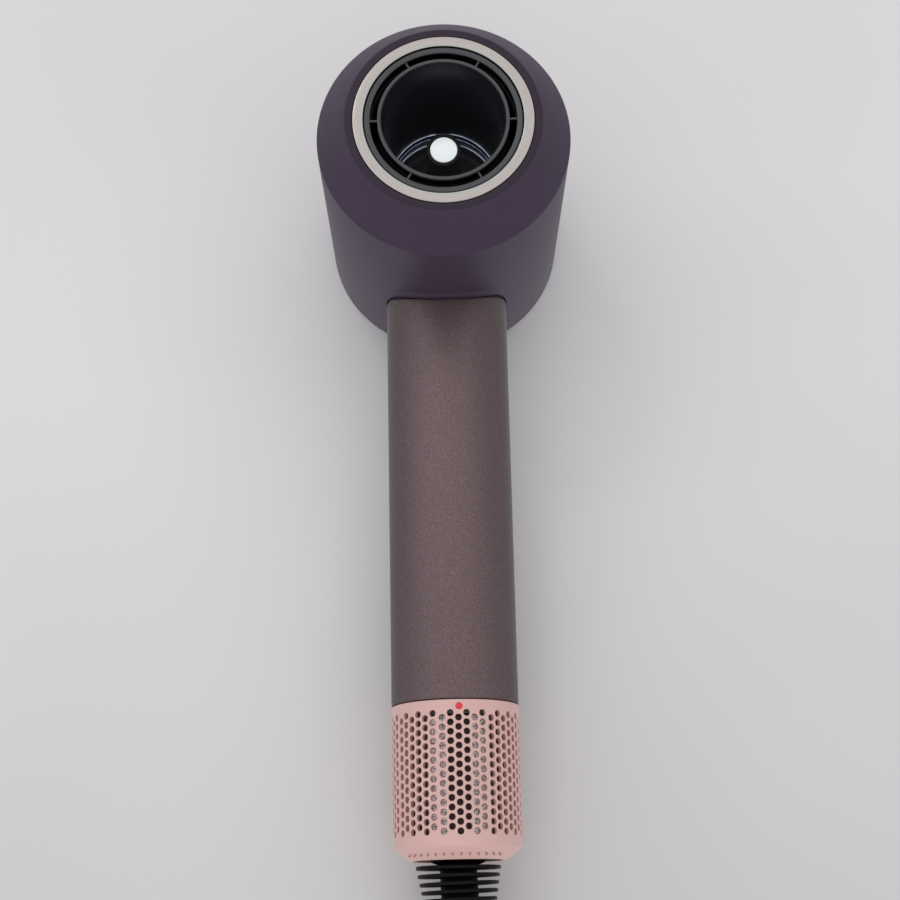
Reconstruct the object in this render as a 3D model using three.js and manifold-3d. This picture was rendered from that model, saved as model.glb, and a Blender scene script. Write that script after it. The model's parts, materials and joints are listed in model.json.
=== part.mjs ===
// A hand-held hair dryer: a short drum-shaped head with a ring outlet, a straight tubular handle with the
// motor inside it, and a perforated twist-off filter round the foot of the handle.
//
// Millimetres, +Z up. The head's bore lies along Y and blows towards -Y; the handle hangs down -Z.
// The origin is the centre of the head's flat back, on the bore's axis.

import * as THREE from "three";
import { mergeVertices } from "three/addons/utils/BufferGeometryUtils.js";
import Module from "manifold-3d";

const wasm = await Module();
wasm.setup();

// ---- Driving dimensions ---------------------------------------------------------------------------------

const GAP = 0.3; // clearance between neighbouring pieces

// Head, measured along the bore: 0 is the flat back, -HEAD_LENGTH is the front plane.
const HEAD_LENGTH = 97.1;
const HEAD_RADIUS = 39;
const HEAD_WALL = 2;
const CONE_LENGTH = 12.8; // the cone between the drum and the front shoulder
const SHOULDER_RADIUS = 30;
const REAR_COVER_DEPTH = 4.2;
const REAR_ROUNDING = 0.8;
const RING_OUTER = 27.35; // steel ring that attachments cling to
const RING_INNER = 24.25;
const RING_THICKNESS = 2.6;
const GRILLE_RADII = { lipInner: 18.7, lipOuter: 19.9, slotOuter: 22.16, outer: 24 };
const SPOKE_COUNT = 6;
const BORE_FRONT = 18.7;
const BORE_REAR = 17.6;
const LENS_PLANE = -45; // where the bore is closed by the front lens
const SENSOR_RADIUS = 5.5;
const SENSOR_PLANE = -76.3;
const WINDOW_RADIUS = 4.2;

// Handle, measured down from the bore's axis.
const HANDLE_Y = -29.9;
const HANDLE_RADIUS = 19.73;
const HANDLE_WALL = 1.8;
const HANDLE_BOTTOM = -167;
const DUCT_RADIUS = 12.3;
const DUCT_BOTTOM = -100;
const CORE_RADIUS = 17.5;
const CORE_TOP = -102;
const SLIDER_HEIGHT = -62;
const COOL_SHOT_HEIGHT = -84;
const SLIDER_TRAVEL = 4;
const BOARD_OFFSET = 13.2; // how far behind the handle's axis the switch board stands

// Motor, in the lower half of the handle.
const MOTOR_MIDDLE = -135;
const MOTOR_RADIUS = 14.6;
const SHAFT_RADIUS = 1.5;
const BLADE_COUNT = 9;

// Filter and cord, below the handle.
const FILTER_RADIUS = 19.7;
const FILTER_BOTTOM = -213.7;
const FILTER_OPENING = 13.7;
const BEVEL_HEIGHT = 3.8; // the cage closes in over this height at its foot
const BEVEL_RADIUS = 14.6;
const FILTER_SLOTS = 18;
const FIN_COUNT = 12;
const FIN_PITCH = 2.34;
const FIN_THICKNESS = 1.15;
const FIN_RADIUS = 12.9;
const FIN_TAPER = 0.42; // each fin is this much smaller in radius than the one above
const BOOT_CORE = 5.7;
const CABLE_RADIUS = 3.7;
const CABLE_END = -264;

// Facets round a full turn.
const FINE = 36;
const MEDIUM = 20;
const COARSE = 12;

// ---- Materials ------------------------------------------------------------------------------------------

function finish(color, roughness, metalness = 0) {
  return new THREE.MeshStandardMaterial({ color, roughness, metalness });
}

const purplePlastic = finish(0x4a4150, 0.55);
const bronzePaint = finish(0x76666a, 0.4, 0.6);
const pinkPlastic = finish(0xe6b8ae, 0.5);
const blackGloss = finish(0x121214, 0.12);
const blackMatte = finish(0x2a2a2e, 0.6);
const steel = finish(0xcfc4bc, 0.3, 1);
const whiteLens = finish(0xf2f6f6, 0.2);
const smokedLens = finish(0x1a1b1f, 0.08);
const redPaint = finish(0xd8232a, 0.4);
const blackRubber = finish(0x222224, 0.8);
const greyPlastic = finish(0x8d8f93, 0.6);
const mica = finish(0xb9a98a, 0.8);
const heaterAlloy = finish(0x8f8a86, 0.45, 0.9);
const magnetAlloy = finish(0x6f7276, 0.4, 0.9);
const copper = finish(0xb4683a, 0.4, 0.9);
const boardGreen = finish(0x1f5b3a, 0.55);
const wovenSteel = finish(0x9a9a9c, 0.5, 0.8);
const castAlloy = finish(0xb8babd, 0.35, 0.9);

// ---- Solid helpers --------------------------------------------------------------------------------------

function toSolid(geometry) {
  const bare = new THREE.BufferGeometry();
  bare.setIndex(geometry.index);
  bare.setAttribute("position", geometry.getAttribute("position"));
  const merged = mergeVertices(bare, 1e-3);
  return new wasm.Manifold(
    new wasm.Mesh({
      numProp: 3,
      vertProperties: new Float32Array(merged.attributes.position.array),
      triVerts: new Uint32Array(merged.index.array),
    }),
  );
}

function toGeometry(solid) {
  const mesh = solid.getMesh();
  const geometry = new THREE.BufferGeometry();
  geometry.setAttribute("position", new THREE.BufferAttribute(mesh.vertProperties, 3));
  geometry.setIndex(new THREE.BufferAttribute(mesh.triVerts, 1));
  geometry.computeVertexNormals();
  return geometry;
}

function cut(geometry, ...tools) {
  return toGeometry(tools.reduce((solid, tool) => solid.subtract(toSolid(tool)), toSolid(geometry)));
}

function join(...geometries) {
  return toGeometry(geometries.map(toSolid).reduce((whole, next) => whole.add(next)));
}

// A body of revolution about Y from [radius, height] corners, listed anticlockwise round its section.
function turned(corners, facets = MEDIUM) {
  const outline = corners.map(([radius, height]) => new THREE.Vector2(radius, height));
  outline.push(outline[0].clone());
  return new THREE.LatheGeometry(outline, facets);
}

// A plain ring about Y between two heights.
function ring(inner, outer, low, high, facets = MEDIUM) {
  return turned([[inner, low], [outer, low], [outer, high], [inner, high]], facets);
}

// A plain rod about Y between two heights.
function rod(radius, low, high, facets = MEDIUM) {
  return new THREE.CylinderGeometry(radius, radius, high - low, facets).translate(0, (low + high) / 2, 0);
}

// A box given by its lowest and highest corners.
function block(low, high) {
  const size = high.map((value, i) => value - low[i]);
  const middle = high.map((value, i) => (value + low[i]) / 2);
  return new THREE.BoxGeometry(...size).translate(...middle);
}

// Arc points of a section: centre, radius and the two angles in degrees.
function arc([centreRadius, centreHeight], radius, from, to, steps = 5) {
  return Array.from({ length: steps + 1 }, (_, i) => {
    const angle = THREE.MathUtils.degToRad(from + ((to - from) * i) / steps);
    return [centreRadius + radius * Math.cos(angle), centreHeight + radius * Math.sin(angle)];
  });
}

// A flat plate drawn in the XZ plane and thickened along Y, from one height to another.
function plate(shape, low, high, curveSegments = 12) {
  const options = { depth: high - low, bevelEnabled: false, curveSegments };
  return new THREE.ExtrudeGeometry(shape, options).rotateX(-Math.PI / 2).translate(0, low, 0);
}

// The outline of part of a ring, between two radii and two angles in degrees.
function ringSector(inner, outer, from, to) {
  const start = THREE.MathUtils.degToRad(from);
  const end = THREE.MathUtils.degToRad(to);
  const shape = new THREE.Shape();
  shape.absarc(0, 0, outer, start, end, false);
  shape.absarc(0, 0, inner, end, start, true);
  shape.closePath();
  return shape;
}

function mesh(name, geometry, material, position = [0, 0, 0]) {
  const part = new THREE.Mesh(geometry, material);
  part.name = name;
  part.position.set(...position);
  return part;
}

// ---- Head: casings --------------------------------------------------------------------------------------

// Where the cone ends and the rounded front shoulder starts.
const FRONT = -HEAD_LENGTH;
const CONE_BASE = FRONT + CONE_LENGTH;

function headShell() {
  const inner = HEAD_RADIUS - HEAD_WALL;
  const ringSeat = RING_OUTER + GAP;
  const seatBack = FRONT + RING_THICKNESS + GAP;
  const shoulder = arc([SHOULDER_RADIUS - 1.3, FRONT + 1.5], 1.5, -110, -40, 3);
  const drum = turned(
    [
      [inner, -REAR_COVER_DEPTH],
      [inner, CONE_BASE + 1],
      [RING_OUTER - 0.4, seatBack + 1.6],
      [RING_INNER, seatBack + 1.6],
      [RING_INNER, seatBack],
      [ringSeat, seatBack],
      ...shoulder,
      [HEAD_RADIUS, CONE_BASE],
      [HEAD_RADIUS, -REAR_COVER_DEPTH],
    ],
    FINE,
  );
  const ductHole = rod(DUCT_RADIUS + GAP, -HEAD_RADIUS - 5, -HEAD_RADIUS / 2)
    .rotateX(Math.PI / 2)
    .translate(0, HANDLE_Y, 0);
  return cut(drum, ductHole);
}

const BUTTON_RADIUS = 4.6;
const BUTTON_CIRCLE = 28; // radius of the circle that the rear buttons sit on
const PIN_RADIUS = 0.75; // light pipe pins that show through the rear cover
const PIN_STEP = 9; // degrees between neighbouring pins

// Rear buttons by their angle, seen from the front, anticlockwise from +X.
const REAR_BUTTONS = { speed: -40, heat: 220, mode: 270 };
const LIGHT_PIPES = { speed: 0, heat: 180 };

function onCircle(radius, degrees) {
  const angle = THREE.MathUtils.degToRad(degrees);
  return [radius * Math.cos(angle), radius * Math.sin(angle)];
}

function pinAngles(middle) {
  return [-1, 0, 1].map((step) => middle + step * PIN_STEP);
}

function rearCover() {
  const rim = HEAD_RADIUS - REAR_ROUNDING;
  const hub = 19.7;
  const skin = 2.2;
  const disc = turned(
    [
      [hub, -6],
      [hub + 1.2, -6],
      [hub + 1.2, -skin],
      [HEAD_RADIUS - HEAD_WALL - 1, -skin],
      [HEAD_RADIUS - HEAD_WALL, -skin - 1],
      [HEAD_RADIUS - HEAD_WALL, -REAR_COVER_DEPTH + GAP],
      [HEAD_RADIUS, -REAR_COVER_DEPTH + GAP],
      ...arc([rim, -REAR_ROUNDING], REAR_ROUNDING, 0, 90, 4),
      [hub, 0],
    ],
    FINE,
  );
  const buttonHoles = Object.values(REAR_BUTTONS).map((angle) => {
    const [x, z] = onCircle(BUTTON_CIRCLE, angle);
    return rod(BUTTON_RADIUS + GAP, -4, 2, COARSE).translate(x, 0, z);
  });
  const pinHoles = Object.values(LIGHT_PIPES).flatMap((middle) =>
    pinAngles(middle).map((angle) => {
      const [x, z] = onCircle(BUTTON_CIRCLE, angle);
      return rod(PIN_RADIUS + GAP / 2, -4, 2, 12).translate(x, 0, z);
    }),
  );
  return cut(disc, ...buttonHoles, ...pinHoles);
}

function outletGrille() {
  const { lipInner, lipOuter, slotOuter, outer } = GRILLE_RADII;
  const lip = ring(lipInner, lipOuter, FRONT + 0.2, FRONT + 4.2, FINE);
  const rim = ring(slotOuter, outer, FRONT + 0.5, FRONT + 4.2, FINE);
  const spokes = Array.from({ length: SPOKE_COUNT }, (_, i) =>
    block([lipOuter - 0.6, FRONT + 0.9, -0.45], [slotOuter + 0.6, FRONT + 3.4, 0.45]).rotateY(
      (i * 2 * Math.PI) / SPOKE_COUNT,
    ),
  );
  return join(lip, rim, ...spokes);
}

function outletNozzle() {
  const { slotOuter, outer } = GRILLE_RADII;
  const front = FRONT + 4.5;
  const back = CONE_BASE + 10;
  return turned(
    [
      [slotOuter, front],
      [outer - 0.4, front],
      [outer, front + 4],
      [34.2, back],
      [33, back],
      [slotOuter + 0.4, front + 5],
    ],
    FINE,
  );
}

function boreLiner() {
  const wall = 1.2;
  const front = FRONT + 4.5;
  return turned(
    [
      [BORE_FRONT, front],
      [BORE_FRONT + wall, front],
      [BORE_REAR + wall, LENS_PLANE - 7],
      [BORE_REAR + wall, -3],
      [BORE_REAR, -3],
      [BORE_REAR, LENS_PLANE - 7],
    ],
    FINE,
  );
}

// ---- Head: sensor and lenses in the bore ----------------------------------------------------------------

function sensorCapsule() {
  const inner = WINDOW_RADIUS + GAP;
  const foot = 7.4;
  return turned([
    [inner, SENSOR_PLANE + 0.2],
    [SENSOR_RADIUS, SENSOR_PLANE + 0.2],
    [SENSOR_RADIUS, LENS_PLANE - 8],
    [foot, LENS_PLANE - 1.4],
    [foot, LENS_PLANE - 1.1],
    [SENSOR_RADIUS, LENS_PLANE - 1.1],
    [SENSOR_RADIUS, LENS_PLANE + 4],
    [inner, LENS_PLANE + 4],
  ]);
}

function lensBezel() {
  const outer = BORE_REAR - GAP / 2;
  const throat = outer - 0.45;
  const front = LENS_PLANE - 6.9;
  const back = LENS_PLANE - 1.1;
  return turned([
    [throat, back],
    [throat, front + 2.1],
    [outer - 0.1, front],
    [outer, front],
    [outer, back],
  ]);
}

function frontLens() {
  return ring(SENSOR_RADIUS + GAP, BORE_REAR - GAP, LENS_PLANE - 0.8, LENS_PLANE + 0.8);
}

function ledBoard() {
  const board = rod(BORE_REAR - 1, -30, -28.6);
  const lamps = Array.from({ length: 6 }, (_, i) => {
    const [x, z] = onCircle(12, i * 60);
    return block([-1.4, -28.8, -1.4], [1.4, -27.4, 1.4]).translate(x, 0, z);
  });
  return join(board, ...lamps);
}

// ---- Head: electronics and controls ---------------------------------------------------------------------

const BOARD_FRONT = -17; // front face of the ring-shaped control board
const BOARD_THICKNESS = 1.6;
const BOARD_SCREWS = [60, 180]; // their angles
const BOARD_SCREW_CIRCLE = 30;
const SWITCH_HEIGHT = 3.8;

function mainBoard() {
  const back = BOARD_FRONT + BOARD_THICKNESS;
  const board = ring(20.4, 33, BOARD_FRONT, back);
  const switches = Object.values(REAR_BUTTONS).map((angle) => {
    const [x, z] = onCircle(BUTTON_CIRCLE, angle);
    return block([-3, back - 0.2, -3], [3, back + SWITCH_HEIGHT, 3]).translate(x, 0, z);
  });
  const screwHoles = BOARD_SCREWS.map((angle) => {
    const [x, z] = onCircle(BOARD_SCREW_CIRCLE, angle);
    return rod(1.7, BOARD_FRONT - 1, back + 1, COARSE).translate(x, 0, z);
  });
  return cut(join(board, ...switches), ...screwHoles);
}

function boardScrew() {
  const seat = BOARD_FRONT + BOARD_THICKNESS + GAP / 2;
  return turned(
    [
      [0, seat - 7],
      [1.4, seat - 7],
      [1.4, seat],
      [2.7, seat],
      [2.7, seat + 1.6],
      [0, seat + 1.6],
    ],
    COARSE,
  );
}

function rearButton() {
  const tip = BOARD_FRONT + BOARD_THICKNESS + SWITCH_HEIGHT + 1;
  return turned(
    [
      [0, tip],
      [1.5, tip],
      [1.5, -3],
      [BUTTON_RADIUS, -3],
      [BUTTON_RADIUS, -0.6],
      [BUTTON_RADIUS - 0.5, -0.2],
      [0, -0.2],
    ],
    COARSE,
  );
}

function lightPipe(middle) {
  const reach = PIN_STEP + 5;
  const halfWidth = 1.4;
  const inner = BUTTON_CIRCLE - halfWidth;
  const outer = BUTTON_CIRCLE + halfWidth;
  const strip = plate(ringSector(inner, outer, middle - reach, middle + reach), -4.2, -2.6);
  const pins = pinAngles(middle).map((angle) => {
    const [x, z] = onCircle(BUTTON_CIRCLE, -angle);
    return rod(PIN_RADIUS, -3, -0.1, 12).translate(x, 0, z);
  });
  return join(strip, ...pins);
}

function ioniser() {
  const shell = block([-8, -40, 24], [8, -22, 33]);
  const needle = rod(0.8, -42.8, -39, 12).translate(0, 0, 28);
  return join(shell, needle);
}

// ---- Head: heater ---------------------------------------------------------------------------------------

const HEATER = { inner: 20.6, outer: 34.6, front: -70, back: -48, rim: 1.2 };
const HEATER_CELLS = 6;

function heaterFrame() {
  const { inner, outer, front, back, rim } = HEATER;
  const shape = new THREE.Shape().absarc(0, 0, outer, 0, 2 * Math.PI);
  shape.holes.push(new THREE.Path().absarc(0, 0, inner, 0, 2 * Math.PI, true));
  const step = 360 / HEATER_CELLS;
  for (let i = 0; i < HEATER_CELLS; i += 1) {
    const cell = ringSector(inner + rim, outer - rim, i * step + 2, (i + 1) * step - 2);
    shape.holes.push(new THREE.Path(cell.getPoints(6).reverse()));
  }
  return plate(shape, front, back, 10);
}

// A flat resistance ribbon, bent into a closed wavy ring and standing on edge.
function heaterRibbon() {
  const waves = 10;
  const pointsPerWave = 4;
  const middle = 27.5;
  const swing = 2.6;
  const halfWidth = 0.35;
  const outline = (side) =>
    Array.from({ length: waves * pointsPerWave }, (_, i) => {
      const angle = (i * 2 * Math.PI) / (waves * pointsPerWave);
      const radius = middle + swing * Math.sin(waves * angle) + side * halfWidth;
      return new THREE.Vector2(radius * Math.cos(angle), radius * Math.sin(angle));
    });
  const shape = new THREE.Shape(outline(1));
  shape.holes.push(new THREE.Path(outline(-1).reverse()));
  return plate(shape, -2, 2);
}

// ---- Handle: tube, core, controls -----------------------------------------------------------------------
// Everything from here down is drawn standing along Y, in the handle's own group, where the handle's back
// is towards -Z.

function handleTube() {
  const top = -HEAD_RADIUS / 2;
  const tube = ring(HANDLE_RADIUS - HANDLE_WALL, HANDLE_RADIUS, HANDLE_BOTTOM, top, FINE);
  const head = rod(HEAD_RADIUS + GAP, -60, 60, FINE).rotateX(Math.PI / 2);
  const back = [-HANDLE_RADIUS - 5, -HANDLE_RADIUS + 5];
  const sliderSlot = block(
    [-2.2, SLIDER_HEIGHT - 3, back[0]],
    [2.2, SLIDER_HEIGHT + SLIDER_TRAVEL + 3, back[1]],
  );
  const coolShotHole = rod(3.9 + GAP, 0, 10, COARSE)
    .rotateX(-Math.PI / 2)
    .translate(0, COOL_SHOT_HEIGHT, -HANDLE_RADIUS + 5);
  return cut(tube, head, sliderSlot, coolShotHole);
}

function neckDuct() {
  return ring(DUCT_RADIUS - 1, DUCT_RADIUS, DUCT_BOTTOM, -HEAD_RADIUS + 5);
}

function handleCore() {
  const shelf = 1.2;
  return turned([
    [DUCT_RADIUS + GAP, CORE_TOP],
    [DUCT_RADIUS + GAP, CORE_TOP - shelf],
    [CORE_RADIUS - 1.3, CORE_TOP - shelf],
    [CORE_RADIUS - 1.3, HANDLE_BOTTOM + 1],
    [CORE_RADIUS, HANDLE_BOTTOM + 1],
    [CORE_RADIUS, CORE_TOP],
  ]);
}

function switchBoard() {
  const board = block([-8, -97, -BOARD_OFFSET - 0.4], [8, -52, -BOARD_OFFSET + 0.4]);
  const sliderSwitch = block(
    [-3, SLIDER_HEIGHT - 6, -BOARD_OFFSET - 2.8],
    [3, SLIDER_HEIGHT + 8, -BOARD_OFFSET],
  );
  const coolShotSwitch = block(
    [-3, COOL_SHOT_HEIGHT - 3, -BOARD_OFFSET - 1.8],
    [3, COOL_SHOT_HEIGHT + 3, -BOARD_OFFSET],
  );
  return join(board, sliderSwitch, coolShotSwitch);
}

function powerSlider() {
  const under = -HANDLE_RADIUS - GAP;
  const contact = -BOARD_OFFSET - 3.1;
  const cap = block([-3.5, SLIDER_HEIGHT - 6, under - 1.6], [3.5, SLIDER_HEIGHT + 6, under]);
  const stem = block([-1.7, SLIDER_HEIGHT - 2.6, under - 0.4], [1.7, SLIDER_HEIGHT + 2.6, contact]);
  return join(cap, stem);
}

function coolShotButton() {
  const profile = [
    [0, 16.4],
    [4.9, 16.4],
    [4.9, 16.9],
    [3.9, 16.9],
    [3.9, HANDLE_RADIUS + 0.5],
    [3.4, HANDLE_RADIUS + 0.9],
    [0, HANDLE_RADIUS + 0.9],
  ];
  return turned(profile, COARSE).rotateX(-Math.PI / 2).translate(0, COOL_SHOT_HEIGHT, 0);
}

// The insulated lead that runs up inside the neck duct to the control board in the head.
function handleWiring() {
  const path = new THREE.CatmullRomCurve3([
    new THREE.Vector3(0, DUCT_BOTTOM - 8, 0),
    new THREE.Vector3(2, DUCT_BOTTOM + 12, -4),
    new THREE.Vector3(-2, -55, -6),
    new THREE.Vector3(0, -31, -8.5),
  ]);
  const shape = new THREE.Shape().absarc(0, 0, 1.6, 0, 2 * Math.PI);
  return new THREE.ExtrudeGeometry(shape, { steps: 14, extrudePath: path, curveSegments: 5 });
}

// ---- Handle: motor --------------------------------------------------------------------------------------

const STATOR = { half: 7, outer: 12.6, yoke: 10.6, bore: 6.2, tooth: 1.7 };
const BEARING = { inner: SHAFT_RADIUS + GAP, outer: 4, height: 3.4 };
const BEARING_OFFSET = 10.6; // from the motor's middle to each bearing's middle
const IMPELLER_MIDDLE = MOTOR_MIDDLE - 17.5;

function motorBucket() {
  return ring(MOTOR_RADIUS - 1.1, MOTOR_RADIUS, MOTOR_MIDDLE - 22, MOTOR_MIDDLE + 16);
}

function motorMount() {
  return turned([
    [MOTOR_RADIUS + GAP, -2],
    [CORE_RADIUS - 1.6, -1.2],
    [CORE_RADIUS - 1.6, 1.2],
    [MOTOR_RADIUS + GAP, 2],
  ]);
}

// A bearing seat held in the bucket by three arms.
function bearingCarrier() {
  const outer = MOTOR_RADIUS - 1.4;
  const rim = ring(outer - 0.9, outer, -1.7, 1.7);
  const seat = ring(BEARING.outer + GAP, BEARING.outer + 1.5, -1.7, 1.7, COARSE);
  const arms = [0, 1, 2].map((i) =>
    block([BEARING.outer + 1, -1.2, -0.8], [outer - 0.5, 1.2, 0.8]).rotateY((i * 2 * Math.PI) / 3),
  );
  return join(rim, seat, ...arms);
}

function bearing() {
  return ring(BEARING.inner, BEARING.outer, -BEARING.height / 2, BEARING.height / 2, COARSE);
}

function statorCore() {
  const { half, outer, yoke, bore, tooth } = STATOR;
  const yokeRing = ring(yoke, outer, -half, half);
  const teeth = [0, Math.PI].map((turn) =>
    block([bore, -half, -tooth], [yoke + 1, half, tooth]).rotateY(turn),
  );
  return join(yokeRing, ...teeth);
}

// One winding round a stator tooth that points along +X.
function statorCoil() {
  const { half, yoke, bore, tooth } = STATOR;
  const inside = tooth + GAP;
  const low = bore + 0.8;
  const high = yoke - 1.1;
  const body = block([low, -half - 1.8, -inside - 1.6], [high, half + 1.8, inside + 1.6]);
  const window = block([low - 1, -half - GAP, -inside], [high + 1, half + GAP, inside]);
  return cut(body, window);
}

function rotorShaft() {
  return rod(SHAFT_RADIUS, IMPELLER_MIDDLE - 4.5, MOTOR_MIDDLE + BEARING_OFFSET + 3, COARSE);
}

function rotorMagnet() {
  return ring(SHAFT_RADIUS + GAP / 2, STATOR.bore - 0.8, -STATOR.half, STATOR.half, COARSE);
}

function impeller() {
  const hub = ring(SHAFT_RADIUS + GAP / 2, 5.2, -3.5, 3.5, COARSE);
  const tip = MOTOR_RADIUS - 1.9;
  const blades = Array.from({ length: BLADE_COUNT }, (_, i) =>
    block([4.6, -3.6, -0.45], [tip, 3.6, 0.45])
      .rotateX(THREE.MathUtils.degToRad(42))
      .rotateY((i * 2 * Math.PI) / BLADE_COUNT),
  );
  return join(hub, ...blades);
}

// ---- Filter and cord ------------------------------------------------------------------------------------

const FILTER_TOP = HANDLE_BOTTOM - 0.2;
const CAGE_INNER = FILTER_RADIUS - 1.3;
const SCREEN_INNER = 16.8;
const CORE_FLOOR = FILTER_BOTTOM + 1.6; // underside of the intake core's floor
const MARK_HEIGHT = FILTER_TOP - 2.1;
const MARK_RADIUS = 1.1;

// The inner frame that the fine screen is wrapped round: a windowed tube with a floor.
function intakeCore() {
  const outer = SCREEN_INNER - 0.4;
  const tube = turned([
    [BOOT_CORE + GAP, CORE_FLOOR],
    [FILTER_OPENING - 0.5, CORE_FLOOR],
    [FILTER_OPENING - 0.5, CORE_FLOOR + 1.6],
    [outer, CORE_FLOOR + 5],
    [outer, HANDLE_BOTTOM + 0.7],
    [outer - 1.3, HANDLE_BOTTOM + 0.7],
    [outer - 1.3, CORE_FLOOR + 5.4],
    [FILTER_OPENING - 1.5, CORE_FLOOR + 2.6],
    [BOOT_CORE + GAP, CORE_FLOOR + 2.6],
  ]);
  const windowTop = FILTER_TOP - 5;
  const windowBottom = CORE_FLOOR + 7;
  const windows = [0, 1, 2].map((i) =>
    block([-20, windowBottom, -6], [20, windowTop, 6]).rotateY((i * Math.PI) / 3),
  );
  return cut(tube, ...windows);
}

function filterScreen() {
  return ring(SCREEN_INNER, SCREEN_INNER + 0.5, CORE_FLOOR + 5, FILTER_TOP - 4.6);
}

function filterLatchRing() {
  return ring(SCREEN_INNER, CAGE_INNER - 0.4, FILTER_TOP - 4.2, FILTER_TOP - 0.5);
}

function filterCage() {
  const shell = turned(
    [
      [FILTER_OPENING, FILTER_BOTTOM],
      [BEVEL_RADIUS, FILTER_BOTTOM],
      [FILTER_RADIUS, FILTER_BOTTOM + BEVEL_HEIGHT],
      [FILTER_RADIUS, FILTER_TOP],
      [CAGE_INNER, FILTER_TOP],
      [CAGE_INNER, FILTER_BOTTOM + BEVEL_HEIGHT + 0.6],
      [FILTER_OPENING, FILTER_BOTTOM + 1.3],
    ],
    FINE,
  );
  const slots = Array.from({ length: FILTER_SLOTS }, (_, i) =>
    block([-0.9, FILTER_BOTTOM + 7.5, CAGE_INNER - 2], [0.9, FILTER_TOP - 5, FILTER_RADIUS + 2]).rotateY(
      ((i + 0.5) * 2 * Math.PI) / FILTER_SLOTS,
    ),
  );
  const markPocket = rod(MARK_RADIUS + GAP, 0, 5, 16)
    .rotateX(Math.PI / 2)
    .translate(0, MARK_HEIGHT, FILTER_RADIUS - 0.8);
  return cut(shell, ...slots, markPocket);
}

function lockMark() {
  return rod(MARK_RADIUS, 0, 0.7, 16).rotateX(Math.PI / 2).translate(0, MARK_HEIGHT, FILTER_RADIUS - 0.5);
}

// Finned strain relief: a root inside the intake core, a neck through its floor, then tapering fins.
function cableBoot() {
  const finTop = FILTER_BOTTOM - 1.4;
  const bore = CABLE_RADIUS + GAP;
  const fins = Array.from({ length: FIN_COUNT }, (_, i) => {
    const top = finTop - i * FIN_PITCH;
    const radius = FIN_RADIUS - i * FIN_TAPER;
    return [
      [radius, top],
      [radius, top - FIN_THICKNESS],
      [BOOT_CORE, top - FIN_THICKNESS],
      [BOOT_CORE, top - FIN_PITCH],
    ];
  }).flat();
  const tailEnd = finTop - FIN_COUNT * FIN_PITCH - 6;
  const outline = [
    [bore, CORE_FLOOR + 6],
    [8.5, CORE_FLOOR + 6],
    [8.5, CORE_FLOOR + 3],
    [BOOT_CORE, CORE_FLOOR + 3],
    [BOOT_CORE, CORE_FLOOR - 0.4],
    [8.5, CORE_FLOOR - 0.4],
    [8.5, FILTER_BOTTOM - 0.4],
    [BOOT_CORE, finTop],
    ...fins,
    [BOOT_CORE - 1, tailEnd],
    [bore, tailEnd],
  ];
  return turned(outline.reverse(), COARSE);
}

function powerCable() {
  return rod(CABLE_RADIUS, CABLE_END, CORE_FLOOR + 22, COARSE);
}

const CLAMP_MIDDLE = CORE_FLOOR + 13;
const CLAMP_DEPTH = 4.5; // half the clamp's thickness, front to back
const CLAMP_SCREW_OFFSET = 7.8;
const CLAMP_SCREW_RADIUS = 1.1;

function cordClamp() {
  const bar = block([-11, CLAMP_MIDDLE - 3, -CLAMP_DEPTH], [11, CLAMP_MIDDLE + 3, CLAMP_DEPTH]);
  const cablePath = rod(CABLE_RADIUS + GAP, CLAMP_MIDDLE - 5, CLAMP_MIDDLE + 5, COARSE);
  const screwHoles = [-1, 1].map((side) =>
    rod(CLAMP_SCREW_RADIUS + GAP, -6, 6, COARSE)
      .rotateX(Math.PI / 2)
      .translate(side * CLAMP_SCREW_OFFSET, CLAMP_MIDDLE, 0),
  );
  return cut(bar, cablePath, ...screwHoles);
}

function clampScrew() {
  const seat = CLAMP_DEPTH + GAP / 2;
  const headRadius = 2 * CLAMP_SCREW_RADIUS;
  const profile = [
    [0, -CLAMP_DEPTH + GAP],
    [CLAMP_SCREW_RADIUS, -CLAMP_DEPTH + GAP],
    [CLAMP_SCREW_RADIUS, seat],
    [headRadius, seat],
    [headRadius, seat + 1.4],
    [0, seat + 1.4],
  ];
  return turned(profile, COARSE).rotateX(Math.PI / 2);
}

// ---- Assembly -------------------------------------------------------------------------------------------

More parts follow.
